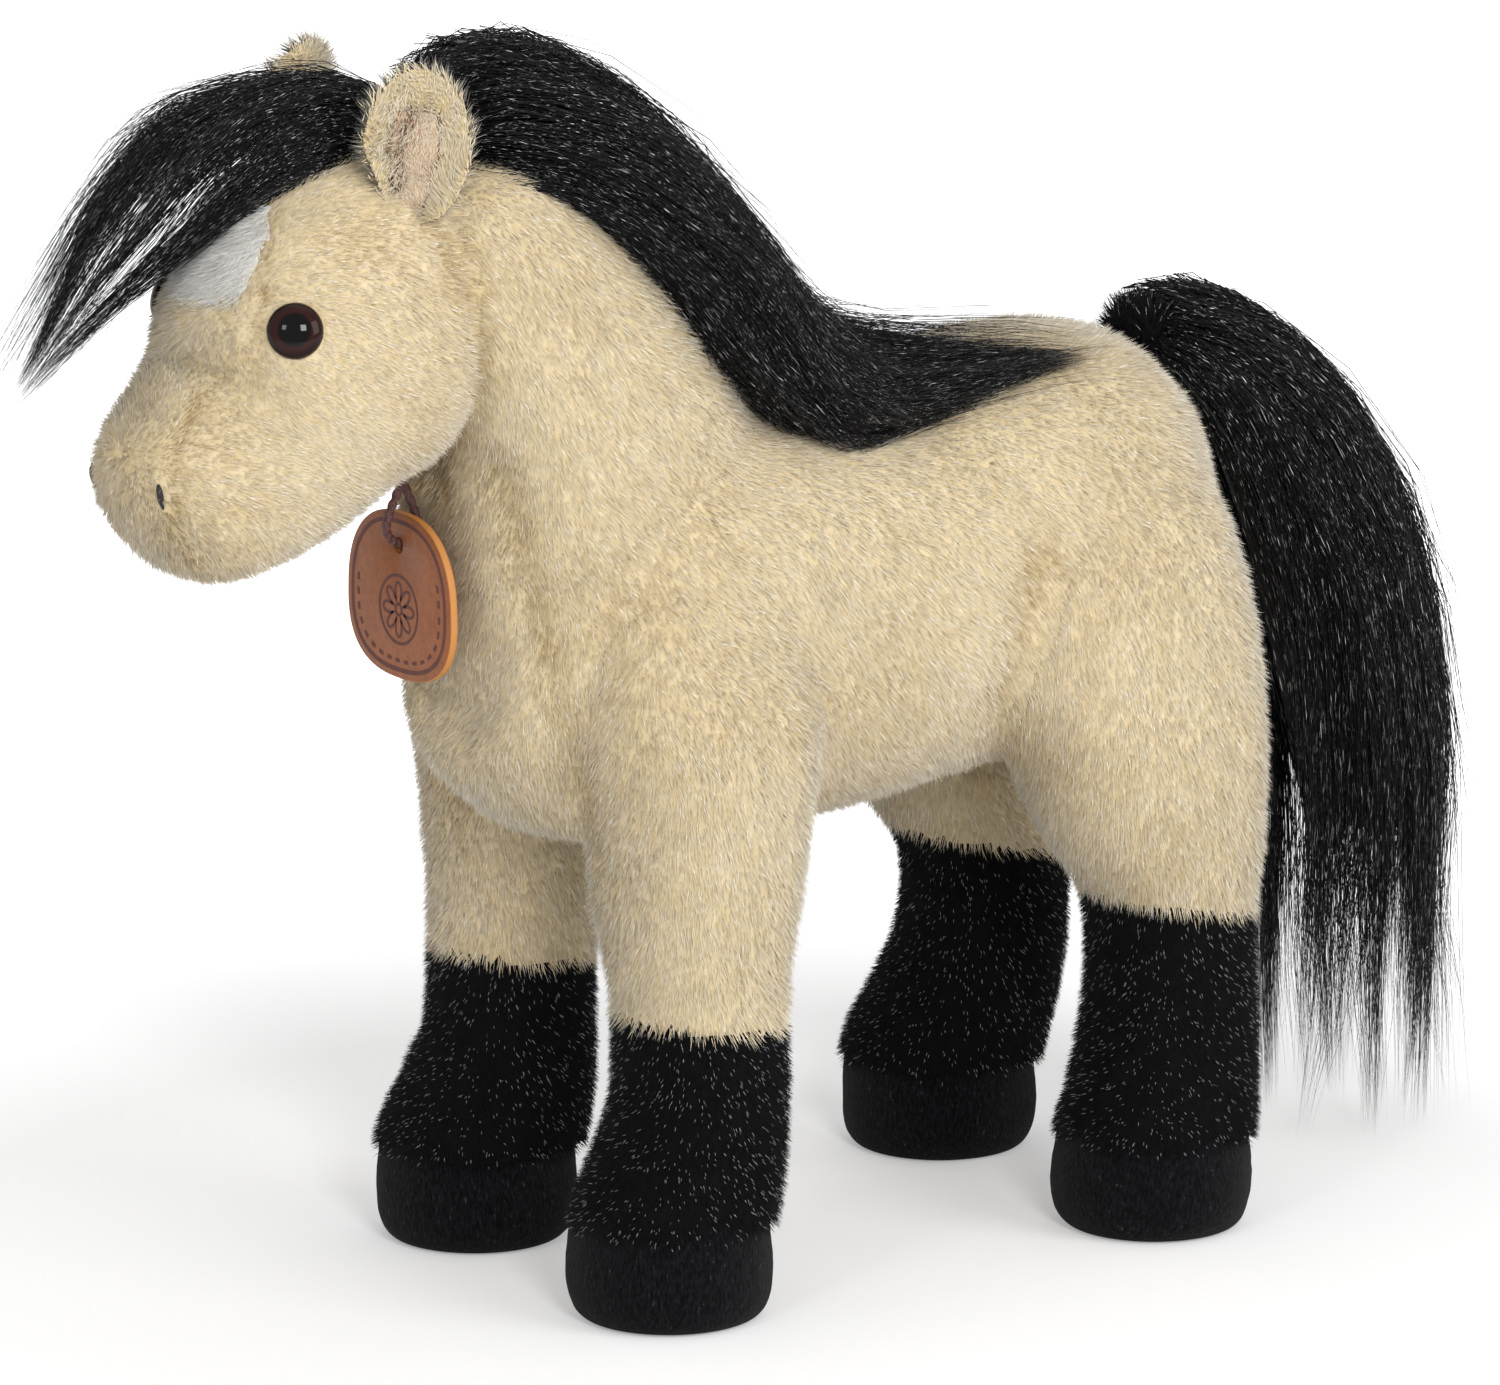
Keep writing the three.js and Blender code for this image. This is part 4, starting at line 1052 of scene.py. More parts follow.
def strand_piece(name: str, paths: Array, widths: Array, tones: Array, seed: int) -> bpy.types.Object:
    """Makes hair: each strand is a closed tapering tube of three sides along its own path.

    Its width at a share of the way is the width at its root times one minus the share to the power 2.2.

    Args:
        name: The piece's name.
        paths: Points along each strand from root to tip, as (strands, points, 3).
        widths: Each strand's width at its root.
        tones: Each strand's tone from 0 to 1.
        seed: Seed of the random numbers.

    Returns:
        The object, with its map.
    """
    rng = np.random.default_rng(seed)
    count, steps, _ = paths.shape
    tangent = unit(np.gradient(paths, axis=1))
    first, second = square_to(tangent, rng.standard_normal((count, 1, 3)))
    share = np.linspace(0, 1, steps)
    taper = (1 - share ** 2.2)[None, :] * widths[:, None] / 2
    ring = first[:, :, None] * np.cos(CORNERS)[:, None] + second[:, :, None] * np.sin(CORNERS)[:, None]
    tube = paths[:, :-1, None] + ring[:, :-1] * taper[:, :-1, None, None]
    points = np.concatenate([tube.reshape(count, -1, 3), paths[:, -1:]], axis=1)
    each = points.shape[1]
    start = each * np.arange(count)[:, None, None]
    tip, last = each - 1, 3 * (steps - 2)
    ends = np.array([(last, last + 1, tip), (last + 1, last + 2, tip), (last + 2, last, tip), (0, 2, 1)])
    quads = (start + grid_faces(steps - 1, 3)[None]).reshape(-1, 4)
    triangles = (start + ends[None]).reshape(-1, 3)
    piece = mesh_piece(name, points.reshape(-1, 3), [quads, triangles])
    across = np.repeat(np.clip(tones[:, None], 0.02, 0.98), each, axis=1)
    across = across + np.append(np.tile(CORNER_TONES, steps - 1), 0.0)
    up = np.append(np.repeat(share[:-1], 3), 1.0)
    paint_map(piece, across, np.broadcast_to(0.02 + 0.96 * up, across.shape))
    return piece


class Side(Enum):
    """The pony's two sides, with the sign of Y on each."""

    LEFT = -1
    RIGHT = 1

    @property
    def word(self) -> str:
        """The side's name in lower case."""
        return self.name.lower()

    @property
    def mirror(self) -> tuple[int, int, int]:
        """Factors that carry points of the left side to this side."""
        return 1, -self.value, 1


@dataclass(frozen=True)
class Crease:
    """A sewn fold: a line on the photograph, and how deep and how wide the skin is drawn in along it."""

    pixels: list[tuple[float, float]]
    depth: float
    width: float


@dataclass(frozen=True)
class Shade:
    """A broad patch of painted shade, or of painted light where its tone shift is positive: its pixel in the
    photograph, its reach and tone shift.
    """

    pixel: tuple[float, float]
    reach: float
    tone: float


@dataclass(frozen=True)
class CoverPlan:
    """One plush cover of the body: its CAD nodes, its pile and the colour of its plush."""

    name: str
    nodes: tuple[str, ...]
    pile: Pile
    plush: str


@dataclass
class StuffedBody:
    """Torso, neck, head, legs and socks: one stuffed skin, cut at the seams of the CAD covers, with its pile.

    The patch edge is the pixel column in the photograph where the white patch ends.
    """

    finishes: Finishes
    camera: PhotoCamera
    voxel: float = 3.0
    rings: int = 90
    segments: int = 64
    easing: int = 7
    wall: float = 1.2
    patch_edge: float = 268.0
    fur_stand: float = 1.5
    lump: float = 0.7
    lump_spacing: float = 34.0
    swell: float = 0.3
    swell_reach: float = 2.6
    # How much painted shade darkens the pile along a crease.
    crease_tone: float = 0.36
    torso: Pile = field(default_factory=lambda: Pile(1.65, 4.0, 0.35, 57, (0.45, 0.0, -0.9)))
    neck: Pile = field(default_factory=lambda: Pile(1.75, 3.9, 0.35, 57, (0.5, 0.0, -0.85)))
    head: Pile = field(default_factory=lambda: Pile(2.2, 3.4, 0.32, 57, (0.85, 0.0, -0.35)))
    patch: Pile = field(default_factory=lambda: Pile(2.8, 3.4, 0.34, 54, (0.1, 0.0, -1.0), glints=0.08))
    leg: Pile = field(default_factory=lambda: Pile(1.65, 4.1, 0.35, 57, (0.12, 0.0, -1.0)))
    sock: Pile = field(default_factory=lambda: Pile(2.05, 3.0, 0.3, 46, (0.05, 0.0, -1.0), ruffle=0.2,
                                                    glints=0.09))
    creases: tuple[Crease, ...] = (
        Crease([(462, 250), (476, 320), (478, 390), (455, 440), (430, 480)], 3.0, 5.0),
        Crease([(500, 470), (520, 560), (545, 660), (575, 760), (600, 850)], 3.0, 6.0),
        Crease([(1038, 565), (1017, 640), (999, 700), (985, 770)], 3.6, 6.0),
        Crease([(262, 297), (256, 345), (225, 372), (201, 388), (183, 429), (174, 455), (172, 502),
                (174, 532), (192, 561)], 1.3, 2.4),
        Crease([(262, 215), (264, 255), (262, 297)], 0.8, 2.0),
        Crease([(428, 205), (440, 250), (452, 300)], 1.0, 3.0),
    )
    # Broad patches of painted shade, and of painted light where the shift is positive.
    shades: tuple[Shade, ...] = (
        Shade((345, 245), 13.0, -0.3), Shade((225, 420), 13.0, -0.16), Shade((150, 520), 9.0, -0.12),
        Shade((330, 500), 16.0, 0.12), Shade((540, 300), 22.0, -0.14), Shade((700, 600), 26.0, -0.12),
    )

    def lofts(self) -> list[tuple[Loft, Pile]]:
        """The stuffed forms of the CAD model, each with its pile."""
        lean, pitch = math.radians(33), math.radians(41)
        neck_way, head_way = (-math.sin(lean), 0, math.cos(lean)), (-math.cos(pitch), 0, -math.sin(pitch))
        shift = FIGURE_SHIFT
        forms = [
            (Loft(TORSO_ROWS, 232, 108, 125, (-115 + shift, 0, 115), (1, 0, 0), (0, 1, 0)), self.torso),
            (Loft(NECK_ROWS, 125, 88, 100, (-58 + shift, 0, 186), neck_way, (0, -1, 0)), self.neck),
            (Loft(HEAD_ROWS, 117, 75, 80, (-115.9 + shift, 0, 288.5), head_way, (0, -1, 0)), self.head),
        ]
        for place, rows, height in (("front", FORE_LEG_ROWS, 198), ("hind", HIND_LEG_ROWS, 216)):
            for side in Side:
                x, y, _ = node_point(f"sole_{place}_{side.word}")
                form = Loft(rows, height, 52, 52, (x, y, 0), (0, 0, 1), (0, 1, 0), mirror=-side.value)
                forms.append((form, self.leg))
        return forms

    def joined_skin(self) -> Skin:
        """One closed skin: the forms shrunk by their pile, joined by a voxel remesh and smoothed."""
        points, quads, triangles, count = [], [], [], 0
        for loft, pile in self.lofts():
            form, (four, three) = loft.skin(self.rings, self.segments, self.fur_stand - pile.rise())
            points.append(form)
            quads.append(four + count)
            triangles.append(three + count)
            count += len(form)
        raw = mesh_piece("raw_skin", np.vstack(points), [np.vstack(quads), np.vstack(triangles)])
        remesh = raw.modifiers.new("join", "REMESH")
        remesh.mode, remesh.voxel_size = "VOXEL", self.voxel * METRES
        ease = raw.modifiers.new("ease", "SMOOTH")
        ease.factor, ease.iterations = 0.5, self.easing
        shown = raw.evaluated_get(bpy.context.evaluated_depsgraph_get())
        joined = bpy.data.objects.new("joined_skin", bpy.data.meshes.new_from_object(shown))
        skin = Skin.of(joined)
        bpy.data.objects.remove(raw)
        bpy.data.objects.remove(joined)
        return skin

    def shape(self) -> Skin:
        """The joined skin with its creases drawn in and the stuffing's slight lumps.

        Along a crease the skin moves in by depth times a bell curve of the distance to the crease's line,
        swells a little on both sides of it, and its pile is darkened by painted shade. A patch of painted
        shading
        shifts the tone by a bell curve: painted shade where the shift is negative, painted light where
        positive.
        Both are placed by the photograph's camera, and mirrored.
        """
        skin = self.joined_skin()
        tree = skin.tree()
        push = self.lump * lattice_noise(skin.points, self.lump_spacing, 11)[:, 0]
        for crease in self.creases:
            near = self.camera.cast(crease.pixels, tree)
            for side in Side:
                far = distance_to_line(skin.points, near * side.mirror)
                bell = np.exp(-(far / crease.width) ** 2)
                push -= crease.depth * bell
                push += self.swell * crease.depth * np.exp(-(far / (self.swell_reach * crease.width)) ** 2)
                # Painted shade along the crease.
                skin.tones -= self.crease_tone * bell
        # Painted shade and painted light in broad patches.
        places = self.camera.cast([shade.pixel for shade in self.shades], tree)
        for shade, place in zip(self.shades, places):
            gaps = [np.linalg.norm(skin.points - place * side.mirror, axis=1) for side in Side]
            skin.tones += shade.tone * np.exp(-(np.minimum(*gaps) / shade.reach) ** 2)
        skin.points = skin.points + skin.normals * push[:, None]
        return skin

    def owners(self, skin: Skin, nodes: list[str]) -> Array:
        """Which CAD cover each triangle belongs to, with the patch cut at its upright edge in the photograph.

        Args:
            skin: The skin.
            nodes: Names of the covers' nodes.

        Returns:
            For each triangle, a place in the list of nodes.
        """
        owner = nearest_cover(skin, nodes)
        near = skin.middles()
        near[:, 1] = -np.abs(near[:, 1])
        beyond = self.camera.pixels(near)[:, 0] > self.patch_edge
        patch, head = nodes.index("forehead_patch"), nodes.index("head_cover")
        return np.where(beyond & (owner == patch), head, owner)

    def plans(self) -> list[CoverPlan]:
        """The covers in the order that they are made in. Each names first the node that it follows."""
        made = [CoverPlan(name, (f"{name}_cover", f"{name}_filling"), pile, "dun")
                for name, pile in (("torso", self.torso), ("neck", self.neck), ("head", self.head))]
        made.append(CoverPlan("patch", ("forehead_patch",), self.patch, "white"))
        for leg in LEGS:
            made.append(CoverPlan(f"leg_{leg}", (f"leg_cover_{leg}", f"leg_filling_{leg}"), self.leg, "dun"))
            made.append(CoverPlan(f"sock_{leg}", (f"sock_{leg}",), self.sock, "black"))
        return made

    def clothe(self, skin: Skin, clearings: tuple[Clearing, ...]) -> None:
        """Builds the backing and the pile of every cover and sock.

        The pile grows on a finer skin, which is cut twice along the seams so that they run smooth.

        Args:
            skin: The skin.
            clearings: Places without pile.
        """
        plans = self.plans()
        names = [plan.nodes[0] for plan in plans]
        owner = self.owners(skin, names)
        fine, owned = skin, owner
        for _ in range(2):
            fine = fine.refined(at_seam(fine, owned))
            owned = self.owners(fine, names)
        above, fine_above = (part.middles()[:, 2] > FABRIC_LOW for part in (skin, fine))
        for number, plan in enumerate(plans):
            part = skin.part((owner == number) & above)
            cover = mesh_piece(f"{plan.name}_backing", part.points, [part.triangles])
            wall = cover.modifiers.new("wall", "SOLIDIFY")
            wall.thickness, wall.offset = self.wall * METRES, -1.0
            backing, slot = getattr(self.finishes, f"{plan.plush}_backing"), f"{plan.plush}_plush"
            dress(cover, backing, "pony", slot, *plan.nodes)
            grown = fine.part((owned == number) & fine_above)
            self.grow(plan, grown, 100 + 10 * number, clearings)

    def grow(self, plan: CoverPlan, part: Skin, seed: int, clearings: tuple[Clearing, ...]) -> None:
        """Grows a cover's pile in as many pieces as keep each one light, in strips from nose to tail.

        Args:
            plan: The cover.
            part: Its skin.
            seed: Seed of the random numbers.
            clearings: Places without pile.
        """
        area = part.areas()
        pieces = max(1, math.ceil(area.sum() * plan.pile.density / PIECE_FIBRES))
        order = np.argsort(part.middles()[:, 0])
        turns = np.cumsum(area[order]) / area.sum() * pieces
        for piece in range(pieces):
            strip = part.part(order[(turns > piece) & (turns <= piece + 1)])
            label = f"{plan.name}_pile" if pieces == 1 else f"{plan.name}_pile_{piece + 1}"
            pile = grow_pile(label, strip, plan.pile, seed + piece, clearings)
            dress(pile, getattr(self.finishes, plan.plush), "pony", f"{plan.plush}_plush")


def distance_to_line(points: Array, line: Array) -> Array:
    """Each point's distance to a line of straight stretches.

    Args:
        points: Points as (count, 3).
        line: The line's points as (count, 3).

    Returns:
        The distances.
    """
    start, run = line[:-1], np.diff(line, axis=0)
    part = np.einsum("psk,sk->ps", points[:, None] - start, run) / np.maximum((run ** 2).sum(axis=1), 1e-9)
    foot = start + np.clip(part, 0, 1)[..., None] * run
    return np.linalg.norm(points[:, None] - foot, axis=2).min(axis=1)


def nearest_cover(skin: Skin, nodes: list[str]) -> Array:
    """Which CAD node each triangle of a skin lies nearest to. Only nodes whose box is near are asked.

    Args:
        skin: The skin.
        nodes: Names of CAD nodes.

    Returns:
        For each triangle, a place in the list of nodes.
    """
    reach, far_off = 12.0, 1e6
    middles = skin.middles()
    gaps = np.full((len(nodes), len(middles)), far_off)
    for number, name in enumerate(nodes):
        tree = Skin.of(frame["nodes"][name]).tree()
        low, high = (np.array(corner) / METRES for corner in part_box(name))
        close = np.all((middles > low - reach) & (middles < high + reach), axis=1)
        gaps[number, close] = [tree.find_nearest(Vector(p))[3] for p in middles[close]]
    return gaps.argmin(axis=0)


def at_seam(skin: Skin, owner: Array) -> Array:
    """Finds the triangles that touch a triangle of another owner.

    Args:
        skin: The skin.
        owner: Each triangle's owner.

    Returns:
        Whether each triangle does.
    """
    least, most = np.full(len(skin.points), 99), np.full(len(skin.points), -1)
    np.minimum.at(least, skin.triangles, owner[:, None])
    np.maximum.at(most, skin.triangles, owner[:, None])
    return (least < most)[skin.triangles].any(axis=1)


@dataclass
class Hooves:
    """Four velour hoof covers with their soles."""

    finishes: Finishes
    radius: float = 26.0
    rows: int = 44
    segments: int = 80
    lump: float = 0.6
    lump_spacing: float = 13.0
    dimple: float = 0.12
    dimple_spacing: float = 2.2
    sole_radius: float = 21.0
    sole_thickness: float = 2.5
    sole_segments: int = 64

    def hoof(self, name: str, foot: Array, seed: int) -> bpy.types.Object:
        """A turned, slightly lumpy boot that is open under its sole.

        The profile turns about the foot's axis. Each point moves out by two smooth noises, less near the
        floor.

        Args:
            name: The piece's name.
            foot: The middle of the sole.
            seed: Seed of the lumps.

        Returns:
            The object.
        """
        r, h = self.radius, HOOF_HEIGHT
        keys = np.array([
            (self.sole_radius + 0.3, 0.4, 0), (0.87 * r, 0.7, 0), (0.94 * r, 0.09 * h, 0), (r, 0.24 * h, 0),
            (1.02 * r, 0.45 * h, 0), (0.99 * r, 0.75 * h, 0), (0.93 * r, h, 0), (0.82 * r, 1.05 * h, 0),
            (0.7 * r, h, 0), (0.78 * r, 0.8 * h, 0), (0.86 * r, 0.4 * h, 0), (0.82 * r, 0.12 * h, 0),
        ])
        outline = flow(np.vstack([keys, keys[:1]]), np.linspace(0, 1, self.rows, endpoint=False))
        points = turned(outline, self.segments)
        lump = (lattice_noise(points + foot, self.lump_spacing, seed)[:, 0] * self.lump
                + lattice_noise(points, self.dimple_spacing, seed + 1)[:, 0] * self.dimple)
        ease = np.clip(points[:, 2:] / 5, 0, 1)
        points = points + unit(points * (1, 1, 0)) * lump[:, None] * ease + foot * (1, 1, 0)
        return mesh_piece(name, points, [grid_faces(self.rows, self.segments, wrap_rows=True)[:, ::-1]])

    def sole(self, name: str, foot: Array) -> bpy.types.Object:
        """A disc with an eased rim and a flat underside.

        Args:
            name: The piece's name.
            foot: The middle of the foot.

        Returns:
            The piece.
        """
        r, t, edge = self.sole_radius, self.sole_thickness, 0.6
        outline = np.array([(0.01, t), (0.5 * r, t), (r - edge, t), (r, t - 0.5), (r, 0.5), (r - edge, 0),
                            (0.5 * r, 0), (0.01, 0)])
        points = turned(outline, self.sole_segments) + foot * (1, 1, 0)
        faces = tube_faces(len(outline), self.sole_segments)
        return mesh_piece(name, points, [part[:, ::-1] for part in faces])

    def build(self) -> None:
        """Builds the four hooves and soles."""
        for number, leg in enumerate(LEGS):
            foot = node_point(f"sole_{leg}")
            hoof = self.hoof(f"hoof_{leg}", foot, 40 + 3 * number)
            dress(hoof, self.finishes.velour, "pony", "black_velour", f"hoof_cover_{leg}")
            sole = self.sole(f"sole_pad_{leg}", foot)
            dress(sole, self.finishes.velour, "pony", "black_velour", f"sole_{leg}")


@dataclass
class Face:
    """Eyes and nostril stitches."""

    finishes: Finishes
    camera: PhotoCamera
    tree: BVHTree
    eye_radius: float = 7.0
    eye_rise: float = 4.4
    rim_height: float = 1.1
    rim_edge: float = 0.25
    back: float = -0.4
    dome_rings: int = 22
    segments: int = 72
    nostril_pixels: tuple[tuple[float, float], ...] = ((160, 482), (162, 494), (165, 507))
    nostril_radii: tuple[float, ...] = (0.3, 0.8, 0.85, 0.7, 0.3)
    nostril_stand: float = 0.9
    nostril_clear: float = 1.2

    def eye_line(self, side: Side) -> tuple[Array, Array]:
        """Finds where an eye sits and where it looks.

        Args:
            side: The pony's side.

        Returns:
            The middle of the eye's seat and the direction that the eye looks in.
        """
        eye = node_places(f"eye_{side.word}")
        washer = node_places(f"eye_washer_{side.word}").mean(axis=0)
        outward = unit(eye.mean(axis=0) - washer)
        return washer + outward * (((eye - washer) @ outward).max() - self.eye_rise), outward

    def nostril_line(self, side: Side) -> Array:
        """The line of a nostril's stitch on the skin, from the photograph for the left one and mirrored."""
        return self.camera.cast(list(self.nostril_pixels), self.tree) * side.mirror

    def clearings(self) -> tuple[Clearing, ...]:
        """The places that the eyes and the nostrils keep free of pile."""
        lines = [self.eye_line(side) for side in Side]
        eyes = [Clearing(seat + 1.5 * outward, self.eye_radius - 0.1) for seat, outward in lines]
        slits = [Clearing(point, self.nostril_clear) for side in Side for point in self.nostril_line(side)]
        return tuple(eyes + slits)

    def eye(self, side: Side) -> None:
        """A dome on a low rim, closed behind, with a map that runs from its middle to its rim.

        Args:
            side: The pony's side.
        """
        seat, outward = self.eye_line(side)
        radius, rim = self.eye_radius, self.rim_height
        dome = np.linspace(math.pi / 2, 0, self.dome_rings)[1:]
        inner = np.vstack([
            np.column_stack([0.985 * radius * np.cos(dome), rim + (self.eye_rise - rim) * np.sin(dome)]),
            [(radius, rim - self.rim_edge), (radius, 0.0), (radius * 0.9, self.back)],
        ])
        angle = circle(self.segments)[:, None]
        first, second = square_to(outward, (0.0, 0.0, 1.0))
        ring = first * np.cos(angle) + second * np.sin(angle)
        points = seat + inner[:, None, :1] * ring + inner[:, None, 1:] * outward
        ends = seat + self.eye_rise * outward, seat + self.back * outward
        points = np.vstack([points.reshape(-1, 3), *ends])
        piece = mesh_piece(f"eye_dome_{side.word}", points, fan_faces(len(inner), self.segments))
        way = np.append(np.repeat(np.clip(inner[:, 0] / radius, 0.01, 0.99), self.segments), [0.0, 1.0])
        around = np.append(np.tile(there_and_back(self.segments), len(inner)), [0.5, 0.5])
        paint_map(piece, way, around)
        recalculate(piece)
        dress(piece, self.finishes.eye, "pony", "eye_plastic", f"eye_{side.word}", f"eye_washer_{side.word}")

    def nostrils(self) -> None:
        """Two short stitches of dark thread in the muzzle, one on each side."""
        for side in Side:
            path = self.nostril_line(side)
            outward = unit(path.mean(axis=0) - node_places("head_filling").mean(axis=0))
            path = path + self.nostril_stand * outward
            piece = tube_piece(f"nostril_{side.word}", path, np.array(self.nostril_radii), 24, 12)
            dress(piece, self.finishes.dark_thread, "pony", "dun_plush")

    def build(self) -> None:
        """Builds the eyes and the nostrils."""
        for side in Side:
            self.eye(side)
        self.nostrils()


def there_and_back(count: int) -> Array:
    """Places round a ring that fall from the map's one side to the other and rise again, without a seam."""
    return np.abs(np.linspace(-0.98, 0.98, count))


def recalculate(piece: bpy.types.Object) -> None:
    """Turns a closed piece's faces outwards.

    Args:
        piece: The piece, which is changed.
    """
    work = bmesh.new()
    work.from_mesh(piece.data)
    bmesh.ops.recalc_face_normals(work, faces=work.faces)
    work.to_mesh(piece.data)
    work.free()


def tube_piece(name: str, keys: Array, radii: Array, steps: int, sides: int, lobes: int = 0,
               twist: float = 0.0) -> bpy.types.Object:
    """A closed tube along a smooth curve, with a round or a lobed section that turns as it goes.

    Between its lobes the section is drawn in by up to three tenths of its radius.

    Args:
        name: The piece's name.
        keys: Points that the curve goes through.
        radii: Radii at even steps along it.
        steps: Rings along the tube.
        sides: Points round a ring.
        lobes: Number of plies that show in the section.
        twist: Turns of the section along the whole tube.

    Returns:
        The object.
    """
    share = np.linspace(0, 1, steps)
    path = flow(np.asarray(keys, float), share)
    first, second = square_to(unit(np.gradient(path, axis=0)), (0.13, 0.97, 0.2))
    angle = circle(sides)
    radius = np.interp(share, np.linspace(0, 1, len(radii)), radii)[:, None]
    if lobes:
        turn = lobes / 2 * (angle - 2 * math.pi * twist * share[:, None])
        radius = radius * (1 - 0.3 * np.abs(np.sin(turn)) ** 3)
    points = (path[:, None] + first[:, None] * (radius * np.cos(angle))[..., None]
              + second[:, None] * (radius * np.sin(angle))[..., None]).reshape(-1, 3)
    piece = mesh_piece(name, points, tube_faces(steps, sides))
    recalculate(piece)
    return piece


@dataclass(frozen=True)
class Leaf:
    """A layer of an ear: the shares of the ear's rows that it runs between, and its share of the ear's width.

    The back and the front say how far before the cup's own face its two sides lie.
    """

    low: float
    high: float
    width: float
    back: float
    front: float


@dataclass
class Ears:
    """Two cupped ears: cream plush behind and round the rim, with a pinkish lining that has painted shade in
    the cup.

    Below a share of the rows, the ear's outer edge draws in, which tucks it under the forelock. The lining
    has painted shade along a fold, which goes through some of its rows and columns.
    """

    finishes: Finishes
    height: float = 36.0
    width: float = 27.5
    cup: float = 7.0
    lean: float = 9.0
    splay: float = 4.0
    rows: int = 44
    around: int = 48
    tuck: float = 0.45
    tuck_share: float = 0.52
    tuck_reach: float = 0.32
    cover_leaf: Leaf = Leaf(0.06, 0.95, 1.0, -2.2, -0.5)
    lining_leaf: Leaf = Leaf(0.08, 0.64, 0.46, -0.4, 0.6)
    # Rows and columns of the line that the lining's painted shade follows.
    fold_rows: tuple[int, ...] = (16, 26, 34, 40)
    fold_columns: tuple[int, ...] = (4, 6, 8, 10)
    cover_tone: float = 0.3
    cover: Pile = field(default_factory=lambda: Pile(3.0, 4.4, 0.38, 42, (-0.3, 0.0, 0.35), ruffle=0.5))
    lining: Pile = field(default_factory=lambda: Pile(4.0, 2.4, 0.34, 50, (0.0, 0.0, 1.0), ruffle=0.3))

    def places(self, side: Side, leaf: Leaf) -> Array:
        """A layer's surface: a flattened tube whose sections follow the cup.

        A section's half width is the ear's, times the leaf's share, and narrows to a quarter at both ends.
        Its face lies at the cup's depth times the square of the share of the half width.

        Args:
            side: The pony's side.
            leaf: The layer.

        Returns:
            Points as (rows, around, 3).
        """
        pivot, hinge = joint_line("ear_left_fold")
        rise = unit(np.array([math.sin(math.radians(self.lean)), -math.sin(math.radians(self.splay)), 1.0]))
        facing = np.cross(rise, -hinge)
        share = np.linspace(leaf.low, leaf.high, self.rows)
        section = flow(EAR_ROWS * (self.height, self.width, self.cup), share)
        turn = circle(self.around)
        end = np.sqrt(np.clip(1 - (2 * np.linspace(0, 1, self.rows) - 1) ** 8, 0, 1))[:, None]
        sideways = np.cos(turn) * section[:, 1:2] * leaf.width * (0.25 + 0.75 * end)
        tuck = np.clip((self.tuck_share - share) / self.tuck_reach, 0, 1)[:, None]
        tucked = sideways * (1 - self.tuck * tuck * tuck * (3 - 2 * tuck))
        sideways = np.where(sideways > 0, tucked, sideways)
        face = section[:, 2:3] * (sideways / section[:, 1:2]) ** 2 - 0.5 * self.cup
        middle, half = (leaf.front + leaf.back) / 2, (leaf.front - leaf.back) / 2
        deep = face + middle + half * np.sin(turn) * np.maximum(end, 0.15)
        points = (sideways[..., None] * -hinge + deep[..., None] * facing
                  + np.broadcast_to(section[:, :1], sideways.shape)[..., None] * rise + pivot)
        return points * side.mirror

    def piece(self, name: str, points: Array) -> bpy.types.Object:
        """Closes a layer's two ends and makes its object.

        Args:
            name: The piece's name.
            points: The layer's surface as (rows, around, 3).

        Returns:
            The object.
        """
        made = mesh_piece(name, points.reshape(-1, 3), tube_faces(self.rows, self.around))
        recalculate(made)
        return made

    def lining_skin(self, inner: bpy.types.Object, points: Array) -> Skin:
        """The lining's skin, with painted shade towards the fold that runs up the front side of the cup.

        The tone shift is a paler base less a deep and a wide bell curve of the distance to the fold, which
        paint its shade.

        Args:
            inner: The lining.
            points: Its surface as (rows, around, 3).

        Returns:
            The skin.
        """
        skin = Skin.of(inner)
        far = distance_to_line(skin.points, points[list(self.fold_rows), list(self.fold_columns)])
        skin.tones += 0.26 - 0.75 * np.exp(-(far / 2.6) ** 2) - 0.2 * np.exp(-(far / 4.5) ** 2)
        return skin

    def build(self) -> None:
        """Builds both ears with their linings and pile."""
        for number, side in enumerate(Side):
            body = f"ear_{side.word}"
            back = self.piece(f"{body}_backing", self.places(side, self.cover_leaf))
            dress(back, self.finishes.dun_backing, body, "dun_plush", f"ear_cover_{side.word}")
            skin = Skin.of(back)
            skin.tones += self.cover_tone
            fur = grow_pile(f"{body}_pile", skin, self.cover, 300 + 7 * number)
            dress(fur, self.finishes.dun, body, "dun_plush")
            points = self.places(side, self.lining_leaf)
            inner = self.piece(f"{body}_lining", points)
            dress(inner, self.finishes.lining_backing, body, "ear_lining", f"ear_lining_{side.word}")
            skin = self.lining_skin(inner, points)
            nap = grow_pile(f"{body}_lining_pile", skin, self.lining, 330 + 7 * number)
            dress(nap, self.finishes.lining, body, "ear_lining")


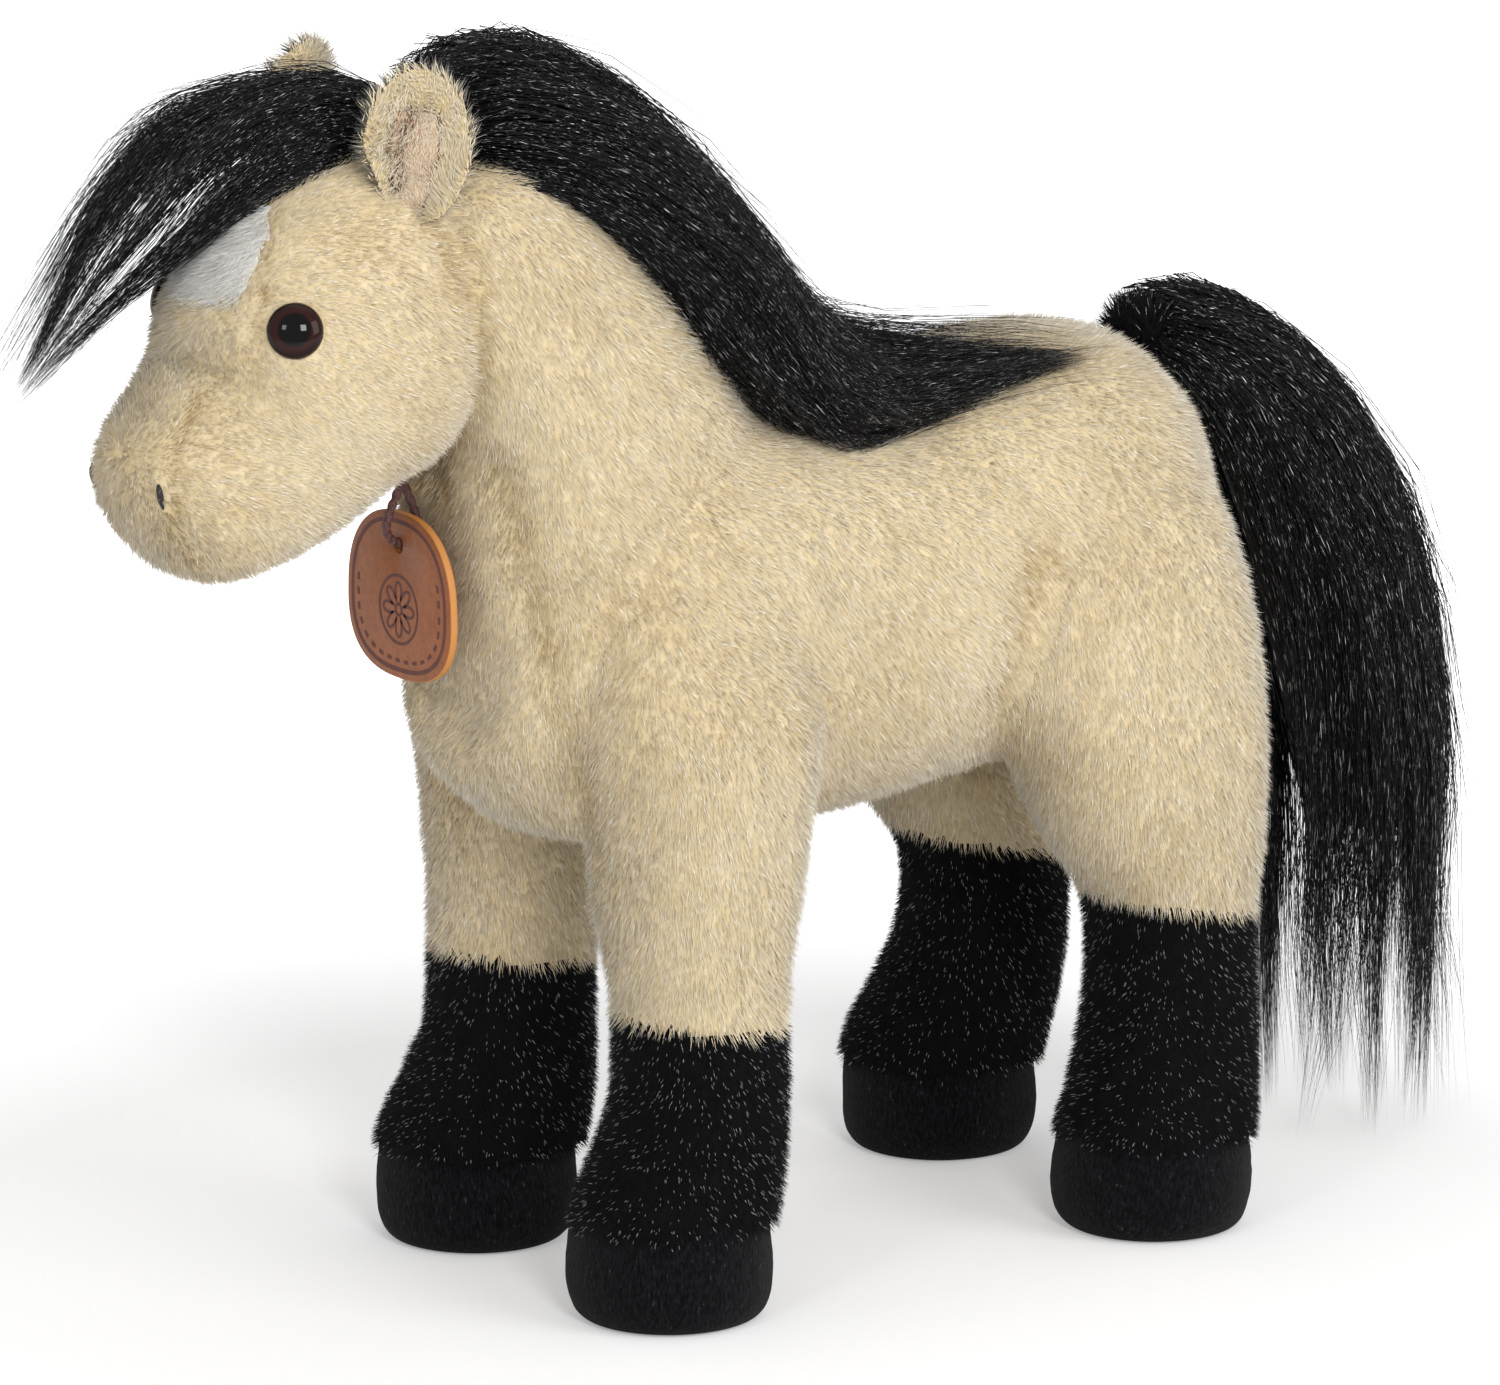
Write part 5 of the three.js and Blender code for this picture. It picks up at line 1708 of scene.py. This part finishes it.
@dataclass
class HairMass:
    """Locks of long fibre that follow a fluted form.

    Each lock has a path along the form, from a start share to an end share at a slowly drifting angle. Its
    strands start spread about that path and draw together towards the tip, by the share that gather says. A
    share of the strands is stray and lifts off. The core is a dark form under the strands.
    """

    name: str
    body: str
    loft: Loft
    locks: int
    strands: int
    points: int
    starts: tuple[float, float]
    ends: tuple[float, float]
    spread: float
    gather: float
    flare: float
    stray: float
    core_end: float
    seed: int
    width: float
    end_bias: float
    lift: float
    wave: float = 1.4
    droop: float = 0.0
    taper: float = 0.0
    hang: float = 1.0
    drop: float = 0.0
    core_depth: float = 3.6
    core_pinch: float = 9.0
    core_rings: int = 70
    core_segments: int = 72

    def paths(self) -> tuple[Array, Array]:
        """The strands' paths and tones.

        A share along the form runs evenly from a strand's start to its end. The angle is the lock's own, plus
        its drift, plus the strand's spread that shrinks as the lock gathers. The stand-off is the lock's
        depth, with loose strands lifting along the way, a droop at the lower near side, and a
        taper over the form's last part. Beyond the share where it hangs, a strand falls straight down.
        """
        rng = np.random.default_rng(self.seed)
        locks, total = self.locks, self.locks * self.strands
        lock = np.repeat(np.arange(locks), self.strands)
        start = rng.uniform(*self.starts, locks)[lock] + 0.03 * rng.standard_normal(total)
        low, high = self.ends
        end = (low + (high - low) * rng.random(locks) ** self.end_bias)[lock]
        end = end + 0.04 * rng.standard_normal(total)
        start, end = np.clip(start, 0, 0.92), np.clip(end, 0.1, 1.0)
        angle = (rng.uniform(-0.35, 1.35, locks) * math.pi)[lock]
        drift = (0.4 * rng.standard_normal(locks))[lock]
        depth = (-2.6 + 4.8 * rng.random(locks) ** 1.7)[lock]
        spread = self.spread * rng.standard_normal(total)
        share = np.linspace(0, 1, self.points)[None, :]
        along = start[:, None] + (end - start)[:, None] * share
        turn = angle[:, None] + drift[:, None] * share + spread[:, None] * (1 - self.gather * share ** 1.2)
        loose = (rng.random(total) < self.stray) & (np.sin(angle) > 0)
        lift = np.where(loose, rng.uniform(0.2, 1, total) * self.lift, rng.uniform(-0.8, 1.0, total))
        stand = depth[:, None] + 0.8 * np.sin(math.pi * share) + (lift[:, None] + self.flare) * share ** 1.4
        low_side = np.exp(-((np.angle(np.exp(1j * turn)) + 0.8) / 0.6) ** 2)
        stand = stand + self.droop * low_side * np.sin(math.pi * np.clip(along / 0.75, 0, 1))
        stand = stand - self.taper * np.clip((along - 0.6) / 0.4, 0, 1) ** 2
        paths = self.loft.surface(np.clip(along, 0, self.hang), turn, stand)
        paths[..., 2] -= self.drop * np.maximum(along - self.hang, 0)
        bend = lattice_noise(paths.reshape(-1, 3), 12.0, self.seed + 1, 3).reshape(paths.shape)
        paths = paths + bend * (self.wave * (1 + loose[:, None]) * share ** 1.5)[..., None]
        paths = paths + 0.9 * rng.standard_normal((total, 1, 3)) * (share ** 1.5)[..., None]
        paths[..., 2] = np.maximum(paths[..., 2], FLOOR_GAP)
        return paths, rng.uniform(0.02, 0.98, total)

    def build(self, finishes: Finishes) -> None:
        """Builds the dark core and the strands over it.

        Args:
            finishes: The materials.
        """
        rings, segments = self.core_rings, self.core_segments
        form = self.loft.skin(rings, segments, -self.core_depth, self.core_end, self.core_pinch)
        core = mesh_piece(f"{self.name}_core", *form)
        dress(core, finishes.hair, self.body, "black_hair", self.name)
        around = np.tile(there_and_back(segments), rings)
        along = np.repeat(np.linspace(0.02, 0.98, rings), segments)
        paint_map(core, np.append(around, [0.5, 0.5]), np.append(along, [0.01, 0.99]))
        paths, tones = self.paths()
        faces = 6 * (self.points - 2) + 4
        pieces = math.ceil(len(paths) * faces / PIECE_FACES)
        rng = np.random.default_rng(self.seed + 5)
        for number, chosen in enumerate(np.array_split(np.arange(len(paths)), pieces), 1):
            widths = self.width * rng.uniform(0.6, 1.25, len(chosen))
            piece = strand_piece(f"{self.name}_locks_{number}", paths[chosen], widths, tones[chosen],
                                 self.seed)
            dress(piece, finishes.hair, self.body, "black_hair")


def hair_masses() -> list[HairMass]:
    """The mane, the forelock and the tail."""
    shift = FIGURE_SHIFT
    dock, _ = joint_line("tail_lift")
    mane = Loft(MANE_ROWS, 194, 54, 80, (-124 + shift, 0, 304), (1, 0, 0), (0, 1, 0), roll=math.radians(27),
                flutes=9)
    forelock = Loft(FORELOCK_ROWS, 92, 38, 72, (-126 + shift, 0, 303), (-1, 0, 0), (0, -1, 0), flutes=8)
    tail = Loft(TAIL_ROWS, 76, 50, 220, tuple(dock), (1, 0, 0), (0, 1, 0), girth=76, flutes=9)
    return [
        HairMass("mane", "pony", mane, locks=560, strands=10, points=6, starts=(0.0, 0.6), ends=(0.4, 1.0),
                 spread=0.18, gather=0.45, flare=0.0, stray=0.36, core_end=0.72, seed=500, width=0.3,
                 end_bias=1.3, lift=10.0, taper=4.5),
        HairMass("forelock", "pony", forelock, locks=58, strands=38, points=7, starts=(0.0, 0.14),
                 ends=(0.42, 1.0), spread=0.3, gather=0.93, flare=-0.6, stray=0.28, core_end=0.24, seed=520,
                 width=0.28, end_bias=1.6, lift=12.0, droop=6.0, taper=2.0, wave=2.2),
        HairMass("tail", "tail", tail, locks=330, strands=17, points=6, starts=(0.0, 0.4), ends=(0.45, 1.0),
                 spread=0.2, gather=0.8, flare=0.5, stray=0.22, core_end=0.62, seed=540, width=0.32,
                 end_bias=1.6, lift=11.0, wave=3.0, hang=0.64, drop=215.0),
    ]


# The cord's points, the same as its CAD tube's, before the figure's shift.
CORD_POINTS = np.array([
    (-125.6, -1.7, 224), (-125.6, -1.7, 221.4), (-125.7, -1.65, 218.6), (-126.3, -1.5, 215),
    (-127.4, -1.2, 211.4), (-128.8, -0.7, 207.8), (-129.7, -0.2, 204.2), (-129.1, 0, 201.3),
    (-127.2, 0, 199.5), (-125, 0, 198.9), (-122.8, 0, 199.5), (-120.9, 0, 201.3),
    (-120.3, 0.2, 204.2), (-121.2, 0.7, 207.8), (-122.6, 1.2, 211.4), (-123.7, 1.5, 215),
    (-124.3, 1.65, 218.6), (-124.4, 1.7, 221.4), (-124.4, 1.7, 224),
])


@dataclass
class HangTag:
    """The leather tag with its border, stitches and rosette, and the cord that it hangs on.

    The border, the stitches' line, the rosette's heart and its halo are shares of the tag and of the rosette.
    """

    finishes: Finishes
    width: float = 48.0
    height: float = 43.0
    thickness: float = 2.4
    edge: float = 0.6
    chamfer: float = 0.35
    hole_radius: float = 2.0
    hole_drop: float = 8.6
    roundness: float = 2.5
    narrowing: float = 0.08
    cord_diameter: float = 2.4
    border: float = 0.89
    stitch_line: float = 0.78
    stitches: int = 30
    rosette: float = 7.0
    rosette_rise: float = -3.6
    heart: float = 0.2
    halo: float = 1.25
    print_rise: float = 0.06
    print_sunk: float = 0.2

    def outline(self, share: float, count: int) -> Array:
        """The tag's outline shrunk to a share, as (count, 2) about the tag's middle.

        It is a rounded box: a half size times the cosine or the sine of the angle, to the power of two over
        the roundness. It narrows towards its top.

        Args:
            share: Share of the tag's size.
            count: Number of points.

        Returns:
            The points.
        """
        angle = circle(count)
        bulge = 2 / self.roundness
        cosine, sine = np.cos(angle), np.sin(angle)
        x = share * self.width / 2 * (1 - self.narrowing * sine) * np.sign(cosine) * np.abs(cosine) ** bulge
        y = share * self.height / 2 * np.sign(sine) * np.abs(sine) ** bulge
        return np.column_stack([x, y])

    def place(self, flat: Array, front: Array | float) -> Array:
        """Puts flat points of the tag's face into the part's frame.

        Args:
            flat: Points across and up, about the tag's middle.
            front: How far they lie before the tag's middle plane.

        Returns:
            Points in the part's frame.
        """
        low, high = (np.array(corner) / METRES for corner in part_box("hang_tag"))
        middle = (low + high) / 2
        front = np.broadcast_to(front, len(flat))
        return middle + np.column_stack([-front, -flat[:, 0], flat[:, 1]])


    def plate(self) -> bpy.types.Object:
        """The leather plate: sections that go from the hole's front edge over the rim and back behind."""
        count = 160
        rim = self.outline(1.0, count)
        hole_middle = np.array([0.0, self.height / 2 - self.hole_drop])
        ray = unit(rim - hole_middle)
        hole = hole_middle + ray * self.hole_radius
        edge, half = self.edge, self.thickness / 2
        inward, inset, midway = unit(rim) * edge, hole + ray * self.chamfer, hole + (rim - hole) * 0.5
        eased = rim - inward * 0.3
        sections = [
            (hole, half - 0.3), (inset, half), (midway, half), (rim - inward, half), (eased, half - 0.18),
            (rim, half - edge), (rim, edge - half), (eased, 0.18 - half), (rim - inward, -half),
            (midway, -half), (inset, -half), (hole, 0.3 - half),
        ]
        points = np.vstack([self.place(flat, front) for flat, front in sections])
        piece = mesh_piece("tag_plate", points, [grid_faces(len(sections), count, wrap_rows=True)])
        around = np.tile(there_and_back(count), len(sections))
        paint_map(piece, around, np.repeat(np.linspace(0.0, 0.98, len(sections)), count))
        recalculate(piece)
        return piece

    def print_piece(self, name: str, lines: list[Array], width: float, closed: bool) -> bpy.types.Object:
        """Thin burnt lines on the tag's face: each is a flat closed strip along a path.

        Args:
            name: The piece's name.
            lines: Paths across and up the face, as (count, 2) each.
            width: Width of a line.
            closed: Whether each path meets its own start.

        Returns:
            The object.
        """
        points, faces, caps, count = [], [], [], 0
        top, low = self.thickness / 2 + self.print_rise, self.thickness / 2 - self.print_sunk
        for line in lines:
            run = np.roll(line, -1, axis=0) - np.roll(line, 1, axis=0)
            if not closed:
                run = np.gradient(line, axis=0)
            side = unit(np.column_stack([-run[:, 1], run[:, 0]])) * width / 2
            ring = np.stack([self.place(line - side, top), self.place(line + side, top),
                             self.place(line + side, low), self.place(line - side, low)], axis=1)
            points.append(ring.reshape(-1, 3))
            faces.append(grid_faces(len(line), 4, wrap_rows=closed) + count)
            ends = np.array([(3, 2, 1, 0), (0, 1, 2, 3)]) + [[0], [4 * (len(line) - 1)]]
            caps.append(ends + count)
            count += 4 * len(line)
        sets = faces if closed else faces + caps
        piece = mesh_piece(name, np.vstack(points), [np.vstack(sets)], smooth=False)
        recalculate(piece)
        return piece

    def artwork(self) -> list[bpy.types.Object]:
        """A border, a ring of stitches inside it, and a rosette of eight loops, r = size * |cos(4 a)|^0.6.

        A stitch is left out where it would lie beside the hole.
        """
        turn = circle(240)
        border = self.print_piece("tag_border", [self.outline(self.border, 160)], 1.1, True)
        ring = self.outline(self.stitch_line, 1200)
        reach = np.concatenate([[0], np.cumsum(np.linalg.norm(np.diff(ring, axis=0), axis=1))])
        pitch = reach[-1] / self.stitches
        shares = (np.arange(self.stitches)[:, None] + np.linspace(0.0, 0.5, 4)) * pitch
        beside_hole = self.height / 2 - 1.9 * self.hole_drop
        stitches = [np.column_stack([np.interp(at, reach, ring[:, k]) for k in range(2)]) for at in shares
                    if np.interp(at.mean(), reach, ring[:, 1]) < beside_hole]
        dashes = self.print_piece("tag_stitches", stitches, 1.0, False)
        petal = self.rosette * (0.25 + 0.75 * np.abs(np.cos(4 * turn)) ** 0.6)
        middle, round_it = np.array([0.0, self.rosette_rise]), np.column_stack([np.cos(turn), np.sin(turn)])
        loops = [middle + radius * round_it
                 for radius in (petal[:, None], self.heart * self.rosette, self.halo * self.rosette)]
        return [border, dashes, self.print_piece("tag_rosette", loops, 0.8, True)]

    def build(self) -> None:
        """Builds the plate, its burnt pattern and the cord."""
        plate = self.plate()
        dress(plate, self.finishes.leather, "hang_tag", "tan_leather", "hang_tag")
        for lines in self.artwork():
            dress(lines, self.finishes.tag_print, "hang_tag", "tan_leather")
        path = CORD_POINTS + (FIGURE_SHIFT, 0, 0)
        radii = np.full(2, self.cord_diameter / 2)
        cord = tube_piece("tag_cord_twist", path, radii, 150, 20, lobes=2, twist=12)
        dress(cord, self.finishes.cord, "tag_cord", "brown_cord", "tag_cord")


@dataclass
class TailRoot:
    """The sewn stub that ties the tail to the rump, with short fibres that stand up before the tail."""

    finishes: Finishes
    radius: float = 7.0
    rings: int = 18
    segments: int = 32
    pile: Pile = field(default_factory=lambda: Pile(2.2, 7.5, 0.4, 42, (-0.6, 0.0, 0.9), ruffle=0.4,
                                                    spread=0.3))

    def build(self) -> None:
        """Builds the stub as a plush-covered ball."""
        centre, _ = joint_line("tail_swing")
        tilt = np.linspace(-math.pi / 2, math.pi / 2, self.rings + 2)[1:-1]
        ball = turned(np.column_stack([np.cos(tilt), np.sin(tilt)]), self.segments)
        piece = mesh_piece("tail_stub", centre + self.radius * ball, tube_faces(self.rings, self.segments))
        recalculate(piece)
        dress(piece, self.finishes.black_backing, "tail_dock", "black_plush", "tail_dock")
        tuft = grow_pile("tail_stub_pile", Skin.of(piece), self.pile, 560)
        dress(tuft, self.finishes.black, "tail_dock", "black_plush")


@dataclass
class Studio:
    """Pale floor, white background and soft lamps.

    The floor's own colour lights the pony from below, and the camera is shown another one with a glow, which
    grows with the distance until the floor is as white as the background.
    """

    floor: str = "#FEFEFE"
    shown: str = "#E3E3E3"
    glow: float = 0.28
    sky: float = 0.58
    half_size: float = 3000.0

    def lamp(self, name: str, camera: PhotoCamera, place: tuple[float, float, float], size: float,
             power: float) -> None:
        """A square area lamp that faces the pony.

        Args:
            name: The lamp's name.
            camera: The camera, whose directions place the lamp.
            place: Metres to the camera's right, up, and back towards the camera, from the camera's target.
            size: Its side in metres.
            power: Its power in watts.
        """
        data = bpy.data.lights.new(name, "AREA")
        data.size, data.energy = size, power
        lamp = bpy.data.objects.new(name, data)
        bpy.context.scene.collection.objects.link(lamp)
        back, right, _ = camera.axes()
        target = np.array(camera.target) * METRES
        aside, up, near = place
        lamp.location = target + aside * right + up * np.array([0, 0, 1]) + near * back * (1, 1, 0)
        lamp.rotation_mode = "QUATERNION"
        lamp.rotation_quaternion = Vector(target - np.array(lamp.location)).to_track_quat("-Z", "Y")

    def seen(self, add: Adder) -> bpy.types.NodeSocket:
        """Tells rays from the camera and from glossy surfaces from the others.

        Args:
            add: Adds nodes to the tree.

        Returns:
            An output that is one for those rays and zero for others.
        """
        rays = add("LightPath").outputs
        both = {0: rays["Is Camera Ray"], 1: rays["Is Glossy Ray"]}
        return add("Math", {"operation": "MAXIMUM"}, both).outputs[0]

    def world(self) -> None:
        """Makes the world: soft white light, behind a background that is shown as pure white."""
        world = bpy.data.worlds.new("studio")
        bpy.context.scene.world = world
        world.use_nodes = True
        add = partial(add_node, world.node_tree)
        light, white = (add("Background", {"Color": (1.0, 1.0, 1.0, 1.0), "Strength": power}).outputs[0]
                        for power in (self.sky, 1.0))
        mix = add("MixShader", links={0: self.seen(add), 1: light, 2: white})
        add(world.node_tree.nodes["World Output"], links={0: mix.outputs[0]})

    def paper(self) -> bpy.types.Material:
        """The floor's matt paper."""
        material, add, shader = new_material("paper_floor")
        shown = self.seen(add)
        paper = add("Mix", {"data_type": "RGBA", 6: linear(self.floor), 7: linear(self.shown)}, {0: shown})
        place = add("TexCoord")
        reach = add("VectorMath", {"operation": "LENGTH"}, {0: place.outputs["Object"]})
        far = add("MapRange", {"From Min": 0.22, "From Max": 0.6, "To Min": self.glow, "To Max": 1.0},
                  {"Value": reach.outputs["Value"]})
        glow = add("Math", {"operation": "MULTIPLY"}, {0: shown, 1: far.outputs[0]})
        add(shader, {"Roughness": 1.0, "Specular IOR Level": 0.0, "Emission Color": (1.0, 1.0, 1.0, 1.0)},
            {"Base Color": paper.outputs[2], "Emission Strength": glow.outputs[0]})
        return material

    def build(self, camera: PhotoCamera) -> None:
        """Builds the floor, the world and the lamps.

        Args:
            camera: The camera, which the lamps are placed by.
        """
        bpy.context.scene.view_settings.view_transform = "Standard"
        self.world()
        corners = np.array([(-1, -1, 0), (1, -1, 0), (1, 1, 0), (-1, 1, 0)], float)
        floor = mesh_piece("floor", corners * self.half_size, [np.array([[0, 1, 2, 3]])])
        floor.data.materials.append(self.paper())
        floor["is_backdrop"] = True
        self.lamp("key", camera, (0.5, 1.1, 2.1), 0.48, 19.5)
        self.lamp("side", camera, (1.7, 0.9, 1.1), 1.2, 17.5)
        self.lamp("fill", camera, (-1.0, 1.05, 1.9), 0.35, 5)
        self.lamp("top", camera, (0.3, 1.9, -0.3), 1.6, 4)


def main() -> None:
    """Builds the studio and the pony, piece by piece."""
    logging.basicConfig(level=logging.INFO, format="%(name)s: %(message)s")
    camera = PhotoCamera()
    camera.build()
    Studio().build(camera)
    finishes = make_finishes()
    HangTag(finishes).build()
    body = StuffedBody(finishes, camera)
    skin = body.shape()
    face = Face(finishes, camera, skin.tree())
    body.clothe(skin, face.clearings())
    Hooves(finishes).build()
    face.build()
    Ears(finishes).build()
    for mass in hair_masses():
        mass.build(finishes)
    TailRoot(finishes).build()
    total = sum(len(piece.data.polygons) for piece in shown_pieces() if piece.type == "MESH")
    LOG.info("%d faces in all", total)


if __name__ == "__main__":
    main()
